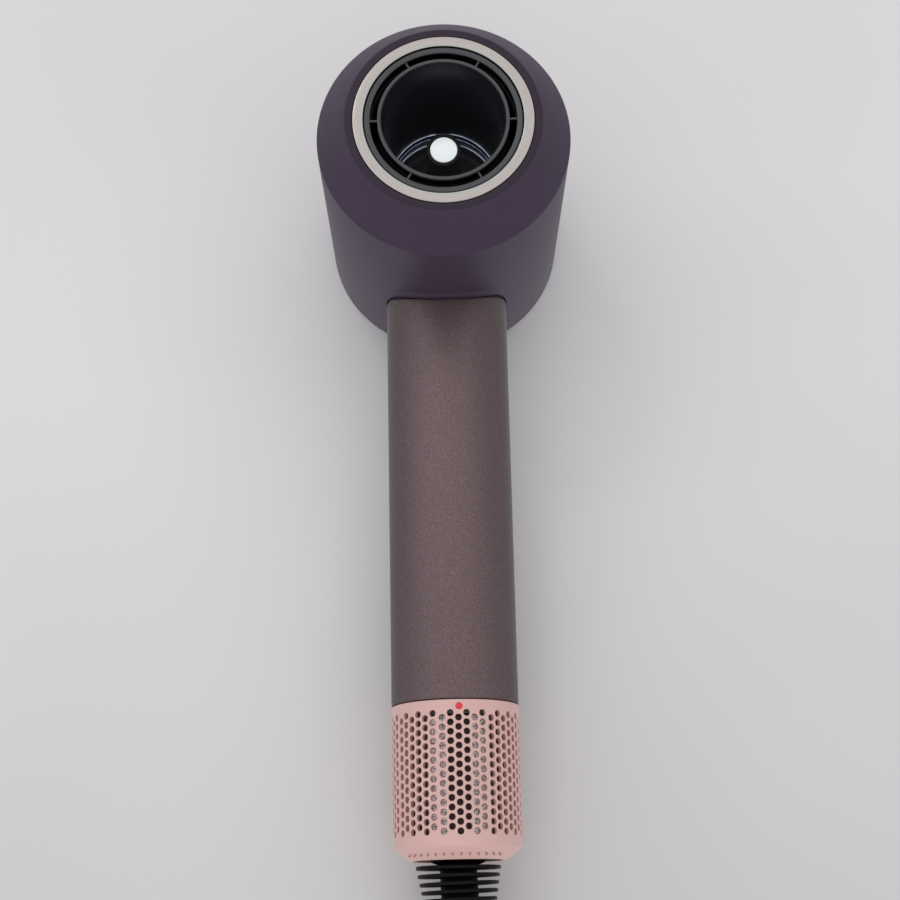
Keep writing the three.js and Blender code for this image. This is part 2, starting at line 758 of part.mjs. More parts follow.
function buildHead() {
  const head = new THREE.Group();
  head.add(
    mesh("head_shell", headShell(), purplePlastic),
    mesh("rear_cover", rearCover(), purplePlastic),
    mesh("rear_lens", rod(19.4, -2.6, 0, FINE), smokedLens),
    mesh("attachment_ring", ring(RING_INNER, RING_OUTER, FRONT, FRONT + RING_THICKNESS, FINE), steel),
    mesh("outlet_grille", outletGrille(), blackMatte),
    mesh("outlet_nozzle", outletNozzle(), blackMatte),
    mesh("bore_liner", boreLiner(), blackGloss),
    mesh("sensor_capsule", sensorCapsule(), blackGloss),
    mesh("sensor_window", rod(WINDOW_RADIUS, SENSOR_PLANE, SENSOR_PLANE + 0.9, COARSE), whiteLens),
    mesh("sensor_board", rod(WINDOW_RADIUS, SENSOR_PLANE + 3, SENSOR_PLANE + 4.2, COARSE), boardGreen),
    mesh("lens_bezel", lensBezel(), blackGloss),
    mesh("front_lens", frontLens(), smokedLens),
    mesh("led_board", ledBoard(), boardGreen),
    mesh("main_board", mainBoard(), boardGreen),
    mesh("ioniser_module", ioniser(), greyPlastic),
    mesh("heater_frame", heaterFrame(), mica),
    mesh("heater_ribbon_front", heaterRibbon(), heaterAlloy, [0, HEATER.front - 2.6, 0]),
    mesh("heater_ribbon_rear", heaterRibbon(), heaterAlloy, [0, HEATER.back + 2.6, 0]),
  );
  [30, 150, 270].forEach((angle, i) => {
    const magnet = plate(ringSector(24.7, 26.9, angle - 12, angle + 12), FRONT + 5, FRONT + 8, 4);
    head.add(mesh(`ring_magnet_${i + 1}`, magnet, magnetAlloy));
  });
  Object.entries(REAR_BUTTONS).forEach(([name, angle]) => {
    const [x, z] = onCircle(BUTTON_CIRCLE, angle);
    head.add(mesh(`${name}_button`, rearButton(), blackMatte, [x, 0, z]));
  });
  Object.entries(LIGHT_PIPES).forEach(([name, middle]) => {
    head.add(mesh(`${name}_light_pipe`, lightPipe(middle), whiteLens));
  });
  BOARD_SCREWS.forEach((angle, i) => {
    const [x, z] = onCircle(BOARD_SCREW_CIRCLE, angle);
    head.add(mesh(`board_screw_${i + 1}`, boardScrew(), steel, [x, 0, z]));
  });
  const [fuseX, fuseZ] = onCircle(28, 150);
  head.add(mesh("thermal_fuse", rod(1.8, -41, -32, COARSE), greyPlastic, [fuseX, 0, fuseZ]));
  const [beadX, beadZ] = onCircle(26, 210);
  head.add(mesh("thermistor", rod(1.1, -80, -77.5, 12), greyPlastic, [beadX, 0, beadZ]));
  return head;
}

function buildMotor() {
  const motor = new THREE.Group();
  const upper = MOTOR_MIDDLE + BEARING_OFFSET;
  const lower = MOTOR_MIDDLE - BEARING_OFFSET;
  motor.add(
    mesh("motor_bucket", motorBucket(), greyPlastic),
    mesh("motor_mount_upper", motorMount(), blackRubber, [0, MOTOR_MIDDLE + 12, 0]),
    mesh("motor_mount_lower", motorMount(), blackRubber, [0, MOTOR_MIDDLE - 18, 0]),
    mesh("bearing_carrier_upper", bearingCarrier(), greyPlastic, [0, upper, 0]),
    mesh("bearing_carrier_lower", bearingCarrier(), greyPlastic, [0, lower, 0]),
    mesh("bearing_upper", bearing(), steel, [0, upper, 0]),
    mesh("bearing_lower", bearing(), steel, [0, lower, 0]),
    mesh("stator_core", statorCore(), magnetAlloy, [0, MOTOR_MIDDLE, 0]),
    mesh("rotor_shaft", rotorShaft(), steel),
    mesh("rotor_magnet", rotorMagnet(), magnetAlloy, [0, MOTOR_MIDDLE, 0]),
    mesh("impeller", impeller(), castAlloy, [0, IMPELLER_MIDDLE, 0]),
  );
  ["right", "left"].forEach((side, i) => {
    const coil = mesh(`stator_coil_${side}`, statorCoil(), copper, [0, MOTOR_MIDDLE, 0]);
    coil.rotation.y = i * Math.PI;
    motor.add(coil);
  });
  return motor;
}

function buildHandle() {
  const handle = new THREE.Group();
  handle.position.set(0, HANDLE_Y, 0);
  handle.rotation.x = Math.PI / 2;
  handle.add(
    mesh("handle_tube", handleTube(), bronzePaint),
    mesh("handle_core", handleCore(), greyPlastic),
    mesh("neck_duct", neckDuct(), greyPlastic),
    mesh("switch_board", switchBoard(), boardGreen),
    mesh("power_slider", powerSlider(), blackMatte),
    mesh("cool_shot_button", coolShotButton(), blackMatte),
    mesh("handle_wiring", handleWiring(), blackRubber),
    mesh("intake_core", intakeCore(), blackMatte),
    mesh("filter_screen", filterScreen(), wovenSteel),
    mesh("filter_latch_ring", filterLatchRing(), blackMatte),
    mesh("filter_cage", filterCage(), pinkPlastic),
    mesh("lock_mark", lockMark(), redPaint),
    mesh("cord_clamp", cordClamp(), greyPlastic),
    mesh("clamp_screw_1", clampScrew(), steel, [-CLAMP_SCREW_OFFSET, CLAMP_MIDDLE, 0]),
    mesh("clamp_screw_2", clampScrew(), steel, [CLAMP_SCREW_OFFSET, CLAMP_MIDDLE, 0]),
    mesh("cable_boot", cableBoot(), blackRubber),
    mesh("power_cable", powerCable(), blackRubber),
    buildMotor(),
  );
  return handle;
}

const dryer = new THREE.Group();
dryer.add(buildHead(), buildHandle());

export default dryer;
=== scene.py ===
"""The looks of the hair dryer: smooth shells, perforated filter, finned boot and their materials."""

import json
import math

import bmesh
import bpy
from mathutils import Euler, Matrix, Vector


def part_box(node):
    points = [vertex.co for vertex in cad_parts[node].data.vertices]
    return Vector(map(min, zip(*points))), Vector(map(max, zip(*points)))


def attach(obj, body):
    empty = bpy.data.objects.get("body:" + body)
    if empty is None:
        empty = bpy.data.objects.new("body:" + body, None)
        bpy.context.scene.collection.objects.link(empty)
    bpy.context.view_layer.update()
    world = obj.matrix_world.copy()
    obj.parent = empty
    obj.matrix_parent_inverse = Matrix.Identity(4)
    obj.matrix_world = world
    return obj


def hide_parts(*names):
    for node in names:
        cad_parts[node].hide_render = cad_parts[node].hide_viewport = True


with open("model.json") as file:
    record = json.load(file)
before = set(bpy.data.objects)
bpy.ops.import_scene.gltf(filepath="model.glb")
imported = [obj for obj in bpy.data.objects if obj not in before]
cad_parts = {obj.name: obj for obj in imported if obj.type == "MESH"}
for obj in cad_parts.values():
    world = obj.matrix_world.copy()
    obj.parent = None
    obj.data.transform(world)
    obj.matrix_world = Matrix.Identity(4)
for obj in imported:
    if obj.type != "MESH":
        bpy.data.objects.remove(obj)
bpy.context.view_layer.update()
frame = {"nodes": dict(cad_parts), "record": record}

# ---- Sizes, in millimetres, read from the frame ----

MM = 0.001
TINY = 1e-6  # a length in millimetres that counts as none
SAME_POINT = 1e-7  # metres within which two points are merged
SHARP = 32  # degrees between two faces above which their edge stays crisp


def span(node):
    """The lowest and highest corners of a CAD node, in millimetres."""
    low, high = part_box(node)
    return low / MM, high / MM


HEAD_RADIUS = span("head_shell")[1].x
HEAD_SEAM = span("head_shell")[1].y
FRONT = span("attachment_ring")[0].y
RING_OUTER = span("attachment_ring")[1].x
RING_BACK = span("attachment_ring")[1].y
GRILLE_OUTER = span("outlet_grille")[1].x
LINER_REAR = span("bore_liner")[1].y
LENS_FRONT, LENS_REAR = span("front_lens")[0].y, span("front_lens")[1].y
LENS_RADIUS = span("front_lens")[1].x
WINDOW_FRONT = span("sensor_window")[0].y
WINDOW_RADIUS = span("sensor_window")[1].x
HANDLE_RADIUS = span("handle_tube")[1].x
HANDLE_Y = (span("handle_tube")[0].y + span("handle_tube")[1].y) / 2
HANDLE_FOOT = span("handle_tube")[0].z
DUCT_RADIUS = span("neck_duct")[1].x
CAGE_RADIUS = span("filter_cage")[1].x
CAGE_TOP, CAGE_FOOT = span("filter_cage")[1].z, span("filter_cage")[0].z
BOOT_TOP, BOOT_FOOT = span("cable_boot")[1].z, span("cable_boot")[0].z
CABLE_RADIUS = span("power_cable")[1].x
CABLE_TOP, CABLE_FOOT = span("power_cable")[1].z, span("power_cable")[0].z

# Details finer than the CAD solids hold.
HEAD_WALL = 2.0
CONE_LENGTH = 12.8  # from the front face back to the head's full width
SHOULDER_RADIUS = 30.0  # where the flat front band ends and the cone starts
LIP_INNER, LIP_OUTER, SLOT_OUTER = 18.7, 19.9, 22.16  # radii of the outlet's inner lip and slot
COLLAR_RISE = 0.7  # the head's skin stands this far proud in front of the handle
COLLAR_INNER = HANDLE_RADIUS + 0.8
COLLAR_FLAT = 1.5  # width of the collar's level part
COLLAR_SLOPE = 1.7  # width over which it then sinks into the drum
SIDE_GAP = 0.15  # the joint round the handle narrows to this at the sides
HANDLE_GAP = 0.25  # between the drum and the handle's top
HANDLE_WALL = 1.8

# Holes of the filter cage.
GROUPS = 8
COLUMNS = 6  # columns of holes in each group
COLUMN_STEP = 7.25  # degrees
FIRST_COLUMN = -11.95  # degrees from the front
ROWS = 13
ROW_STEP = 2.768
HOLES_TOP = CAGE_TOP - 2.67
HOLE_RADIUS = 1.04
HOLE_EDGE = 0.1  # chamfer round each hole
PARTS = 4  # mesh steps along each side of a hole's cell
GROUP_LINES = COLUMNS * PARTS + 1  # a group's mesh lines; the last step is its plain strip
CAGE_WALL = 1.3
BEVEL_HEIGHT = 3.8
BEVEL_TOP = CAGE_FOOT + BEVEL_HEIGHT
BEVEL_RADIUS = 14.6  # the cage's radius at its foot

# ---- Mesh helpers ----


def bore_point(radius, height, angle):
    """A point about the bore: height runs along Y, and angle 0 is +X, turning towards +Z."""
    return Vector((radius * math.cos(angle), height, radius * math.sin(angle))) * MM


def handle_point(radius, height, angle):
    """A point about the handle: height runs along Z, and angle 0 faces -Y, turning towards +X."""
    return Vector((radius * math.sin(angle), HANDLE_Y - radius * math.cos(angle), height)) * MM


def added(name, data):
    """A new object in the scene."""
    piece = bpy.data.objects.new(name, data)
    bpy.context.scene.collection.objects.link(piece)
    return piece


def shown(name, mesh, work, material, sharp):
    """An object of the bmesh's faces, smooth except at edges sharper than an angle in degrees."""
    work.to_mesh(mesh)
    work.free()
    mesh.shade_smooth()
    mesh.set_sharp_from_angle(angle=math.radians(sharp))
    if material:
        mesh.materials.append(material)
    return added(name, mesh)


def finish_mesh(name, verts, faces, material, sharp=SHARP):
    """An object of points and faces, with equal points merged and the faces turned outwards."""
    mesh = bpy.data.meshes.new(name)
    mesh.from_pydata([tuple(v) for v in verts], [], faces)
    work = bmesh.new()
    work.from_mesh(mesh)
    bmesh.ops.remove_doubles(work, verts=work.verts, dist=SAME_POINT)
    bmesh.ops.recalc_face_normals(work, faces=work.faces)
    return shown(name, mesh, work, material, sharp)


def turns(steps):
    """The angles of a full turn in equal steps."""
    return [2 * math.pi * k / steps for k in range(steps)]


def section(inner, outer, low, high):
    """The corners of a plain ring's cross-section."""
    return [(inner, low), (outer, low), (outer, high), (inner, high)]


def softened(corners, radius, steps=4):
    """The outline with each corner rounded. A corner is (r, h) or (r, h, its own radius)."""
    points = []
    count = len(corners)
    most = 0.45  # of a side's length that the rounding of one corner may take
    for i, corner in enumerate(corners):
        here = Vector(corner[:2])
        before = Vector(corners[i - 1][:2]) - here
        after = Vector(corners[(i + 1) % count][:2]) - here
        cut = corner[2] if len(corner) > 2 else radius
        cut = min(cut, most * before.length, most * after.length)
        if cut <= TINY or here.x < TINY:
            points.append(here)
            continue
        start = here + before.normalized() * cut
        end = here + after.normalized() * cut
        for k in range(steps + 1):
            t = k / steps
            points.append(start * (1 - t) ** 2 + here * 2 * t * (1 - t) + end * t**2)
    return points


def revolved(name, outline, place, material, steps=160, sharp=SHARP):
    """Turns a closed (r, h) outline about an axis, with place(r, h, angle) giving each point."""
    verts, rings = [], []
    for r, h in outline:
        if r < TINY:
            rings.append([len(verts)] * steps)
            verts.append(place(0, h, 0))
            continue
        rings.append(list(range(len(verts), len(verts) + steps)))
        verts.extend(place(r, h, angle) for angle in turns(steps))
    faces = []
    for a, b in zip(rings, rings[1:] + rings[:1]):
        for k in range(steps):
            beside = (k + 1) % steps
            face = list(dict.fromkeys((a[k], a[beside], b[beside], b[k])))
            if len(face) > 2:
                faces.append(face)
    return finish_mesh(name, verts, faces, material, sharp)


def eased(value, start, end):
    """Rises smoothly from 0 at start to 1 at end."""
    share = min(max((value - start) / (end - start), 0), 1)
    return share * share * (3 - 2 * share)


def looped(name, loops, material, sharp=SHARP):
    """A closed ring of quads through loops of points, all with the same count."""
    steps = len(loops[0])
    faces = []
    for row in range(len(loops)):
        here, after = row * steps, ((row + 1) % len(loops)) * steps
        for k in range(steps):
            beside = (k + 1) % steps
            faces.append((here + k, here + beside, after + beside, after + k))
    return finish_mesh(name, [point for loop in loops for point in loop], faces, material, sharp)


def saddle_point(radius, level, angle):
    """A point round the handle's axis, at a given distance from the bore's axis."""
    x = radius * math.sin(angle)
    return handle_point(radius, -math.sqrt(level * level - x * x), angle)


def rounded_box(name, size, centre, material, edge=0.5, turn=None):
    """A box with rolled edges; size and centre in millimetres."""
    work = bmesh.new()
    bmesh.ops.create_cube(work, size=1)
    bmesh.ops.scale(work, vec=Vector(size) * MM, verts=work.verts)
    bmesh.ops.bevel(work, geom=work.edges[:], offset=edge * MM, segments=3, profile=0.5, affect="EDGES")
    if turn:
        bmesh.ops.transform(work, matrix=turn, verts=work.verts)
    bmesh.ops.translate(work, vec=Vector(centre) * MM, verts=work.verts)
    return shown(name, bpy.data.meshes.new(name), work, material, 40)


def bake_modifiers(piece):
    """Replaces a piece's mesh by the one its modifiers make."""
    depsgraph = bpy.context.evaluated_depsgraph_get()
    made = bpy.data.meshes.new_from_object(piece.evaluated_get(depsgraph))
    piece.modifiers.clear()
    piece.data = made
    made.shade_smooth()
    made.set_sharp_from_angle(angle=math.radians(SHARP))


def combine(piece, tools, operation):
    """Cuts or joins a piece with tools, which are then removed."""
    for tool in tools:
        step = piece.modifiers.new(operation, "BOOLEAN")
        step.operation = operation
        step.solver = "EXACT"
        step.object = tool
    bpy.context.view_layer.update()
    bake_modifiers(piece)
    for tool in tools:
        bpy.data.objects.remove(tool)
    return piece


def joined(name, pieces):
    """One object out of several."""
    work = bmesh.new()
    for piece in pieces:
        work.from_mesh(piece.data)
    material = pieces[0].data.materials[0]
    for piece in pieces:
        bpy.data.objects.remove(piece)
    return shown(name, bpy.data.meshes.new(name), work, material, 35)


def stands_for(piece, node, body="dryer"):
    """Hangs a piece on its body and hides the CAD node that it shows in place of."""
    if node:
        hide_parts(node)
    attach(piece, body)


# ---- Materials ----


DRIFT_MM = 14  # size of the slow colour changes of plastics


class Shader:
    """A Principled material under construction."""

    def __init__(self, name, roughness, metallic=0.0):
        self.material = bpy.data.materials.new(name)
        self.material.use_nodes = True
        self.tree = self.material.node_tree
        self.surface = self.tree.nodes["Principled BSDF"]
        self.give("Roughness", roughness)
        self.give("Metallic", metallic)
        self.place = self.tree.nodes.new("ShaderNodeTexCoord").outputs["Object"]

    def link(self, source, target):
        self.tree.links.new(source, target)

    def feed(self, socket, value):
        """Sets a socket to a number or a colour, or links another node's output to it."""
        if isinstance(value, (int, float)):
            socket.default_value = value
        elif isinstance(value, tuple):
            socket.default_value = (*value, 1)
        else:
            self.link(value, socket)

    def give(self, name, value):
        """Feeds one of the surface's own inputs."""
        self.feed(self.surface.inputs[name], value)

    def noise(self, size_mm, detail=2.0, place=None):
        """Noise from 0 to 1 with features of about this size."""
        node = self.tree.nodes.new("ShaderNodeTexNoise")
        node.inputs["Scale"].default_value = 1 / (size_mm * MM)
        node.inputs["Detail"].default_value = detail
        self.link(place or self.place, node.inputs["Vector"])
        return node.outputs["Fac"]

    def ramp(self, value, stops):
        """Colours or greys along a value. A stop is (position, colour or grey)."""
        node = self.tree.nodes.new("ShaderNodeValToRGB")
        elements = node.color_ramp.elements
        while len(elements) < len(stops):
            elements.new(0.5)
        for element, (position, colour) in zip(elements, stops):
            element.position = position
            element.color = (*colour, 1) if isinstance(colour, tuple) else (colour, colour, colour, 1)
        self.link(value, node.inputs["Fac"])
        return node.outputs["Color"]

    def math(self, operation, a, b=None, c=None):
        node = self.tree.nodes.new("ShaderNodeMath")
        node.operation = operation
        for socket, value in zip(node.inputs, (a, b, c)):
            if value is not None:
                self.feed(socket, value)
        return node.outputs["Value"]

    def distance(self, a, b):
        """How far apart two points are that differ by a one way and by b across it."""
        squares = self.math("ADD", self.math("MULTIPLY", a, a), self.math("MULTIPLY", b, b))
        return self.math("SQRT", squares)

    def mix(self, factor, a, b, blend="MIX"):
        node = self.tree.nodes.new("ShaderNodeMix")
        node.data_type = "RGBA"
        node.blend_type = blend
        for index, value in ((0, factor), (6, a), (7, b)):
            self.feed(node.inputs[index], value)
        return node.outputs[2]

    def coordinates(self):
        """The place as separate x, y and z, in metres."""
        node = self.tree.nodes.new("ShaderNodeSeparateXYZ")
        self.link(self.place, node.inputs[0])
        return node.outputs

    def vector(self, x, y, z):
        node = self.tree.nodes.new("ShaderNodeCombineXYZ")
        for socket, value in zip(node.inputs, (x, y, z)):
            self.feed(socket, value)
        return node.outputs[0]

    def bump(self, height, depth_mm):
        node = self.tree.nodes.new("ShaderNodeBump")
        node.inputs["Distance"].default_value = depth_mm * MM
        node.inputs["Strength"].default_value = 1
        self.link(height, node.inputs["Height"])
        self.give("Normal", node.outputs[0])

    def drifting(self, colour, spread):
        """A colour that slowly gets darker and lighter by this share."""
        ends = [(0.3, shade(colour, 1 - spread)), (0.7, shade(colour, 1 + spread))]
        return self.ramp(self.noise(DRIFT_MM, 3), ends)

    def grained(self, size_mm, low, high, depth_mm):
        """Fine grain in the surface, and in its roughness between two values."""
        grain = self.noise(size_mm, 2)
        self.give("Roughness", self.ramp(grain, [(0.25, low), (0.75, high)]))
        self.bump(grain, depth_mm)


def shade(colour, factor):
    return tuple(channel * factor for channel in colour)


def moulded(
    name, colour, roughness, grain_mm=0.35, grain_depth=0.01, spread=0.06,
    metallic=0.0, gloss=0.5, painted_glow=0.0,
):
    """Moulded plastic, rubber or plain metal: slow colour drift, fine grain and uneven polish, and a painted
    glow where one is given.
    """
    look = Shader(name, roughness, metallic)
    look.give("Specular IOR Level", gloss)
    look.give("Emission Color", colour)
    look.give("Emission Strength", painted_glow)
    look.give("Base Color", look.drifting(colour, spread))
    look.grained(grain_mm, roughness * 0.9, min(1, roughness * 1.1), grain_depth)
    return look.material


def head_plastic(name, colour):
    """The head's soft-touch plastic, a shade deeper on the flat band round the steel ring."""
    look = Shader(name, 0.5)
    x, _, z = look.coordinates()
    share = look.math("DIVIDE", look.distance(x, z), SHOULDER_RADIUS * MM)
    band = look.ramp(share, [(0.985, 1), (1.0, 0)])
    look.give("Base Color", look.mix(band, look.drifting(colour, 0.05), shade(colour, 0.54)))
    look.give("Specular IOR Level", HEAD_GLOSS)
    look.grained(0.3, 0.45, 0.55, 0.008)
    return look.material


def grille_plastic(name, colour):
    """The grille's dark plastic: satin on its front faces, with painted shade down inside the slot that
    makes it dead black and takes away its sheen.
    """
    look = Shader(name, 0.42)
    slot_depth = 4 * MM
    painted_slot_shade = (0.003, 0.003, 0.003)
    _, y, _ = look.coordinates()
    below = look.math("SUBTRACT", y, span("outlet_grille")[0].y * MM)
    # painted shade: below a little depth the slot's walls turn dead black and lose their sheen
    inside = look.ramp(look.math("DIVIDE", below, slot_depth), [(0.18, 0), (0.28, 1)])
    look.give("Base Color", look.mix(inside, look.drifting(colour, 0.08), painted_slot_shade))
    look.give("Specular IOR Level", look.ramp(inside, [(0, 0.5), (1, 0.05)]))
    look.grained(0.3, 0.38, 0.46, 0.01)
    return look.material


def bezel_metal(name, colour):
    """Polished edges with a painted glint for the window's light, left out where the sensor's painted shadow
    falls.
    """
    look = Shader(name, 0.25, 0.5)
    look.give("Base Color", colour)
    look.give("Emission Color", colour)
    uneven = look.ramp(look.noise(3.0, 2), [(0.3, 0.45), (0.7, 1)])
    # painted shadow of the sensor: the glint fades out across the sensor's width
    x, _, _ = look.coordinates()
    aside = look.math("DIVIDE", look.math("ABSOLUTE", x), WINDOW_RADIUS * MM)
    clear = look.ramp(aside, [(0.45, 0), (0.75, 1)])
    painted_glint = 0.85
    look.give("Emission Strength", look.math("MULTIPLY", look.math("MULTIPLY", uneven, clear), painted_glint))
    look.bump(look.noise(0.5, 2), 0.003)
    return look.material


def cage_plastic(name, colour, hole_shade_colour):
    """The filter's pink plastic: painted light on the bevel, and painted shade inside the holes with a faint
    painted glow over it.
    """
    look = Shader(name, 0.42)
    painted_hole_glow = 0.13  # painted glow on the walls of the holes
    x, y, height = look.coordinates()
    # painted light: the bevel is made lighter
    bevel_painted_light = look.math("LESS_THAN", height, BEVEL_TOP * MM)
    skin = look.mix(bevel_painted_light, look.drifting(colour, 0.025), shade(colour, 1.12))
    # painted shade on the walls of the holes, deeper in colour
    radius = look.distance(x, look.math("SUBTRACT", y, HANDLE_Y * MM))
    depth = look.math("DIVIDE", look.math("SUBTRACT", CAGE_RADIUS * MM, radius), CAGE_WALL * MM)
    inside = look.ramp(depth, [(0.06, 0), (0.35, 1)])
    wall = look.math("MULTIPLY", inside, look.math("GREATER_THAN", height, (BEVEL_TOP + 1) * MM))
    look.give("Base Color", look.mix(wall, skin, hole_shade_colour))
    look.give("Emission Color", hole_shade_colour)
    look.give("Emission Strength", look.math("MULTIPLY", wall, painted_hole_glow))
    look.grained(0.4, 0.38, 0.46, 0.008)
    return look.material


def flaked_paint(name, base):
    """Satin metallic paint with fine flakes that catch the light one by one, and painted shade where it
    turns away from view.
    """
    look = Shader(name, 0.42, 0.55)
    flake = look.noise(0.3, 1)
    coarse = look.noise(1.1, 2)
    speck = look.ramp(flake, [(0.3, shade(base, 0.62)), (0.5, base), (0.7, shade(base, 1.6))])
    patch = look.ramp(coarse, [(0.3, shade(base, 0.86)), (0.7, shade(base, 1.14))])
    tilt = look.tree.nodes.new("ShaderNodeLayerWeight").outputs["Facing"]
    turned = look.ramp(tilt, [(0.1, 1), (0.75, 0.5)])  # painted shade: the flakes look darker from the side
    look.give("Base Color", look.mix(1.0, look.mix(0.35, speck, patch), turned, "MULTIPLY"))
    look.give("Roughness", look.ramp(flake, [(0.3, 0.56), (0.7, 0.46)]))
    look.bump(flake, 0.008)
    look.give("Coat Weight", 0.12)
    look.give("Coat Roughness", 0.35)
    return look.material


def brushed_ring(name):
    """Steel brushed round the bore: fine lines that follow the ring."""
    look = Shader(name, 0.3, 1.0)
    lines_per_metre, breaks_per_radian = 9000, 5
    x, _, z = look.coordinates()
    radius = look.distance(x, z)
    out = look.math("MULTIPLY", radius, lines_per_metre)
    round_bore = look.math("MULTIPLY", look.math("ARCTAN2", z, x), breaks_per_radian)
    streak = look.noise(1 / MM, 3, look.vector(out, round_bore, 0))
    steel = look.ramp(streak, [(0.3, (0.325, 0.302, 0.287)), (0.7, (0.405, 0.378, 0.36))])
    across = look.math("DIVIDE", radius, RING_OUTER * MM)
    tint = look.ramp(across, [(0.9, (0.94, 1.0, 1.0)), (0.97, (1.0, 0.97, 0.97))])  # cooler towards the bore
    look.give("Base Color", look.mix(1.0, steel, tint, "MULTIPLY"))
    look.give("Roughness", look.ramp(streak, [(0.3, 0.16), (0.7, 0.28)]))
    look.bump(streak, 0.004)
    return look.material


def woven_screen(name):
    """Fine woven steel: bright in bands at the sides of each window of holes and dark across its middle,
    with painted glints and a painted glow.
    """
    look = Shader(name, 0.45, 0.3)
    threads_round = 200
    thread_pitch = 0.58  # millimetres along the handle
    window_middle = math.radians(3.0)  # a little to one side of the front
    gap, wire, painted_glint = (0.08, 0.06, 0.05), (0.32, 0.28, 0.26), (0.58, 0.54, 0.52)
    x, y, z = look.coordinates()
    turn = look.math("ARCTAN2", x, look.math("SUBTRACT", HANDLE_Y * MM, y))
    across = look.math("SINE", look.math("MULTIPLY", turn, threads_round))
    along = look.math("SINE", look.math("MULTIPLY", z, 2 * math.pi / (thread_pitch * MM)))
    weave = look.math("MULTIPLY_ADD", look.math("MULTIPLY", across, along), 0.07, look.noise(0.42, 1))
    # the weave's brightest specks are a painted glint on the wires
    bright = look.ramp(weave, [(0.38, gap), (0.48, wire), (0.6, painted_glint)])
    # bright bands at the sides of each window of holes, dark across its middle
    from_window = look.math("SUBTRACT", turn, window_middle)
    wave = look.math("COSINE", look.math("MULTIPLY", from_window, GROUPS))
    rib = look.ramp(look.math("MULTIPLY_ADD", wave, 0.5, 0.5), [(0.34, 1), (0.5, 0)])
    cloth = look.mix(rib, (0.016, 0.009, 0.009), bright)
    look.give("Base Color", cloth)
    look.give("Emission Color", cloth)
    look.give("Emission Strength", 0.42)  # painted glow: what shows through the holes needs lifting
    look.bump(weave, 0.05)
    return look.material


def glowing_window(name):
    """An opal window that glows, a little dimmer at its rim."""
    look = Shader(name, 0.12)
    x, _, z = look.coordinates()
    share = look.math("DIVIDE", look.distance(x, z), WINDOW_RADIUS * MM)
    look.give("Base Color", (0.85, 0.88, 0.9))
    look.give("Emission Color", look.ramp(share, [(0.85, (0.80, 0.86, 0.88)), (1.0, (0.62, 0.70, 0.74))]))
    look.give("Emission Strength", 0.4)
    return look.material


def table_cloth(name):
    """A pale matt table with painted shade that darkens it towards the cord, seen only from its top side."""
    look = Shader(name, 0.9)
    cloth = look.ramp(look.noise(220, 2), [(0.3, (0.67, 0.66, 0.662)), (0.7, (0.73, 0.72, 0.722))])
    _, _, along = look.coordinates()
    # painted shade: darker towards the cord
    painted_falloff = look.ramp(look.math("MULTIPLY_ADD", along, 2.0, 0.7), [(0.08, 0.77), (0.6, 1)])
    look.give("Base Color", look.mix(1.0, cloth, painted_falloff, "MULTIPLY"))
    look.bump(look.noise(0.9, 2), 0.03)
    geometry = look.tree.nodes.new("ShaderNodeNewGeometry")
    clear = look.tree.nodes.new("ShaderNodeBsdfTransparent")
    choose = look.tree.nodes.new("ShaderNodeMixShader")
    output = look.tree.nodes["Material Output"]
    look.link(geometry.outputs["Backfacing"], choose.inputs[0])
    look.link(look.surface.outputs[0], choose.inputs[1])
    look.link(clear.outputs[0], choose.inputs[2])
    look.link(choose.outputs[0], output.inputs["Surface"])
    return look.material


HEAD_COLOUR = (0.049, 0.032, 0.059)
HEAD_GLOSS = 0.2

PURPLE = head_plastic("purple_plastic", HEAD_COLOUR)
PURPLE_BACK = moulded("purple_back", HEAD_COLOUR, 0.5, 0.3, 0.008, 0.05, gloss=HEAD_GLOSS)
BRONZE = flaked_paint("bronze_paint", (0.131, 0.088, 0.094))
PINK = cage_plastic("pink_plastic", (0.62, 0.39, 0.357), (0.36, 0.19, 0.165))
# painted shade: the ticks' deeper pink stands for the shade beside them
TICK_PAINTED_SHADE = moulded("tick_painted_shade", (0.40, 0.215, 0.19), 0.45, grain_mm=0.4, grain_depth=0.005)
# painted glow: the dark parts down the bore glow faintly
GLOSS_BLACK = moulded("black_gloss", (0.008, 0.009, 0.011), 0.3, 2, 0.002, 0.2, gloss=0.25, painted_glow=0.2)
SENSOR_BLACK = moulded("sensor_black", (0.007, 0.007, 0.007), 0.5, 0.5, 0.003, 0.2, gloss=0.1, painted_glow=0.5)
# painted sheen: the bezel's dark blue and its glow stand for a reflection
BEZEL_PAINTED_SHEEN = moulded("bezel_painted_sheen", (0.010, 0.014, 0.026), 0.25, 2, 0.002, 0.2, gloss=0.3, painted_glow=0.35)
MATT_BLACK = moulded("black_matte", (0.048, 0.052, 0.058), 0.42, grain_mm=0.3, grain_depth=0.01, spread=0.08)
SMOKED = moulded("smoked_lens", (0.012, 0.011, 0.012), 0.15, 3, 0.001, 0.2, painted_glow=0.35)
PAINTED_GLINT_EDGE = bezel_metal("bezel_edge", (0.55, 0.60, 0.72))
GRILLE_BLACK = grille_plastic("grille_black", (0.037, 0.039, 0.044))
RING_STEEL = brushed_ring("brushed_ring")
SCREEN = woven_screen("woven_steel")
WINDOW = glowing_window("white_lens")
WINDOW_PLAIN = moulded("light_pipe_lens", (0.75, 0.78, 0.78), 0.2, grain_mm=1.0, grain_depth=0.002)
RUBBER = moulded("black_rubber", (0.004, 0.004, 0.0045), 0.5, 0.5, 0.015, 0.15, gloss=0.1)
RED = moulded("red_paint", (0.62, 0.025, 0.035), 0.4, grain_mm=0.3, grain_depth=0.004, spread=0.08)
TABLE = table_cloth("table")

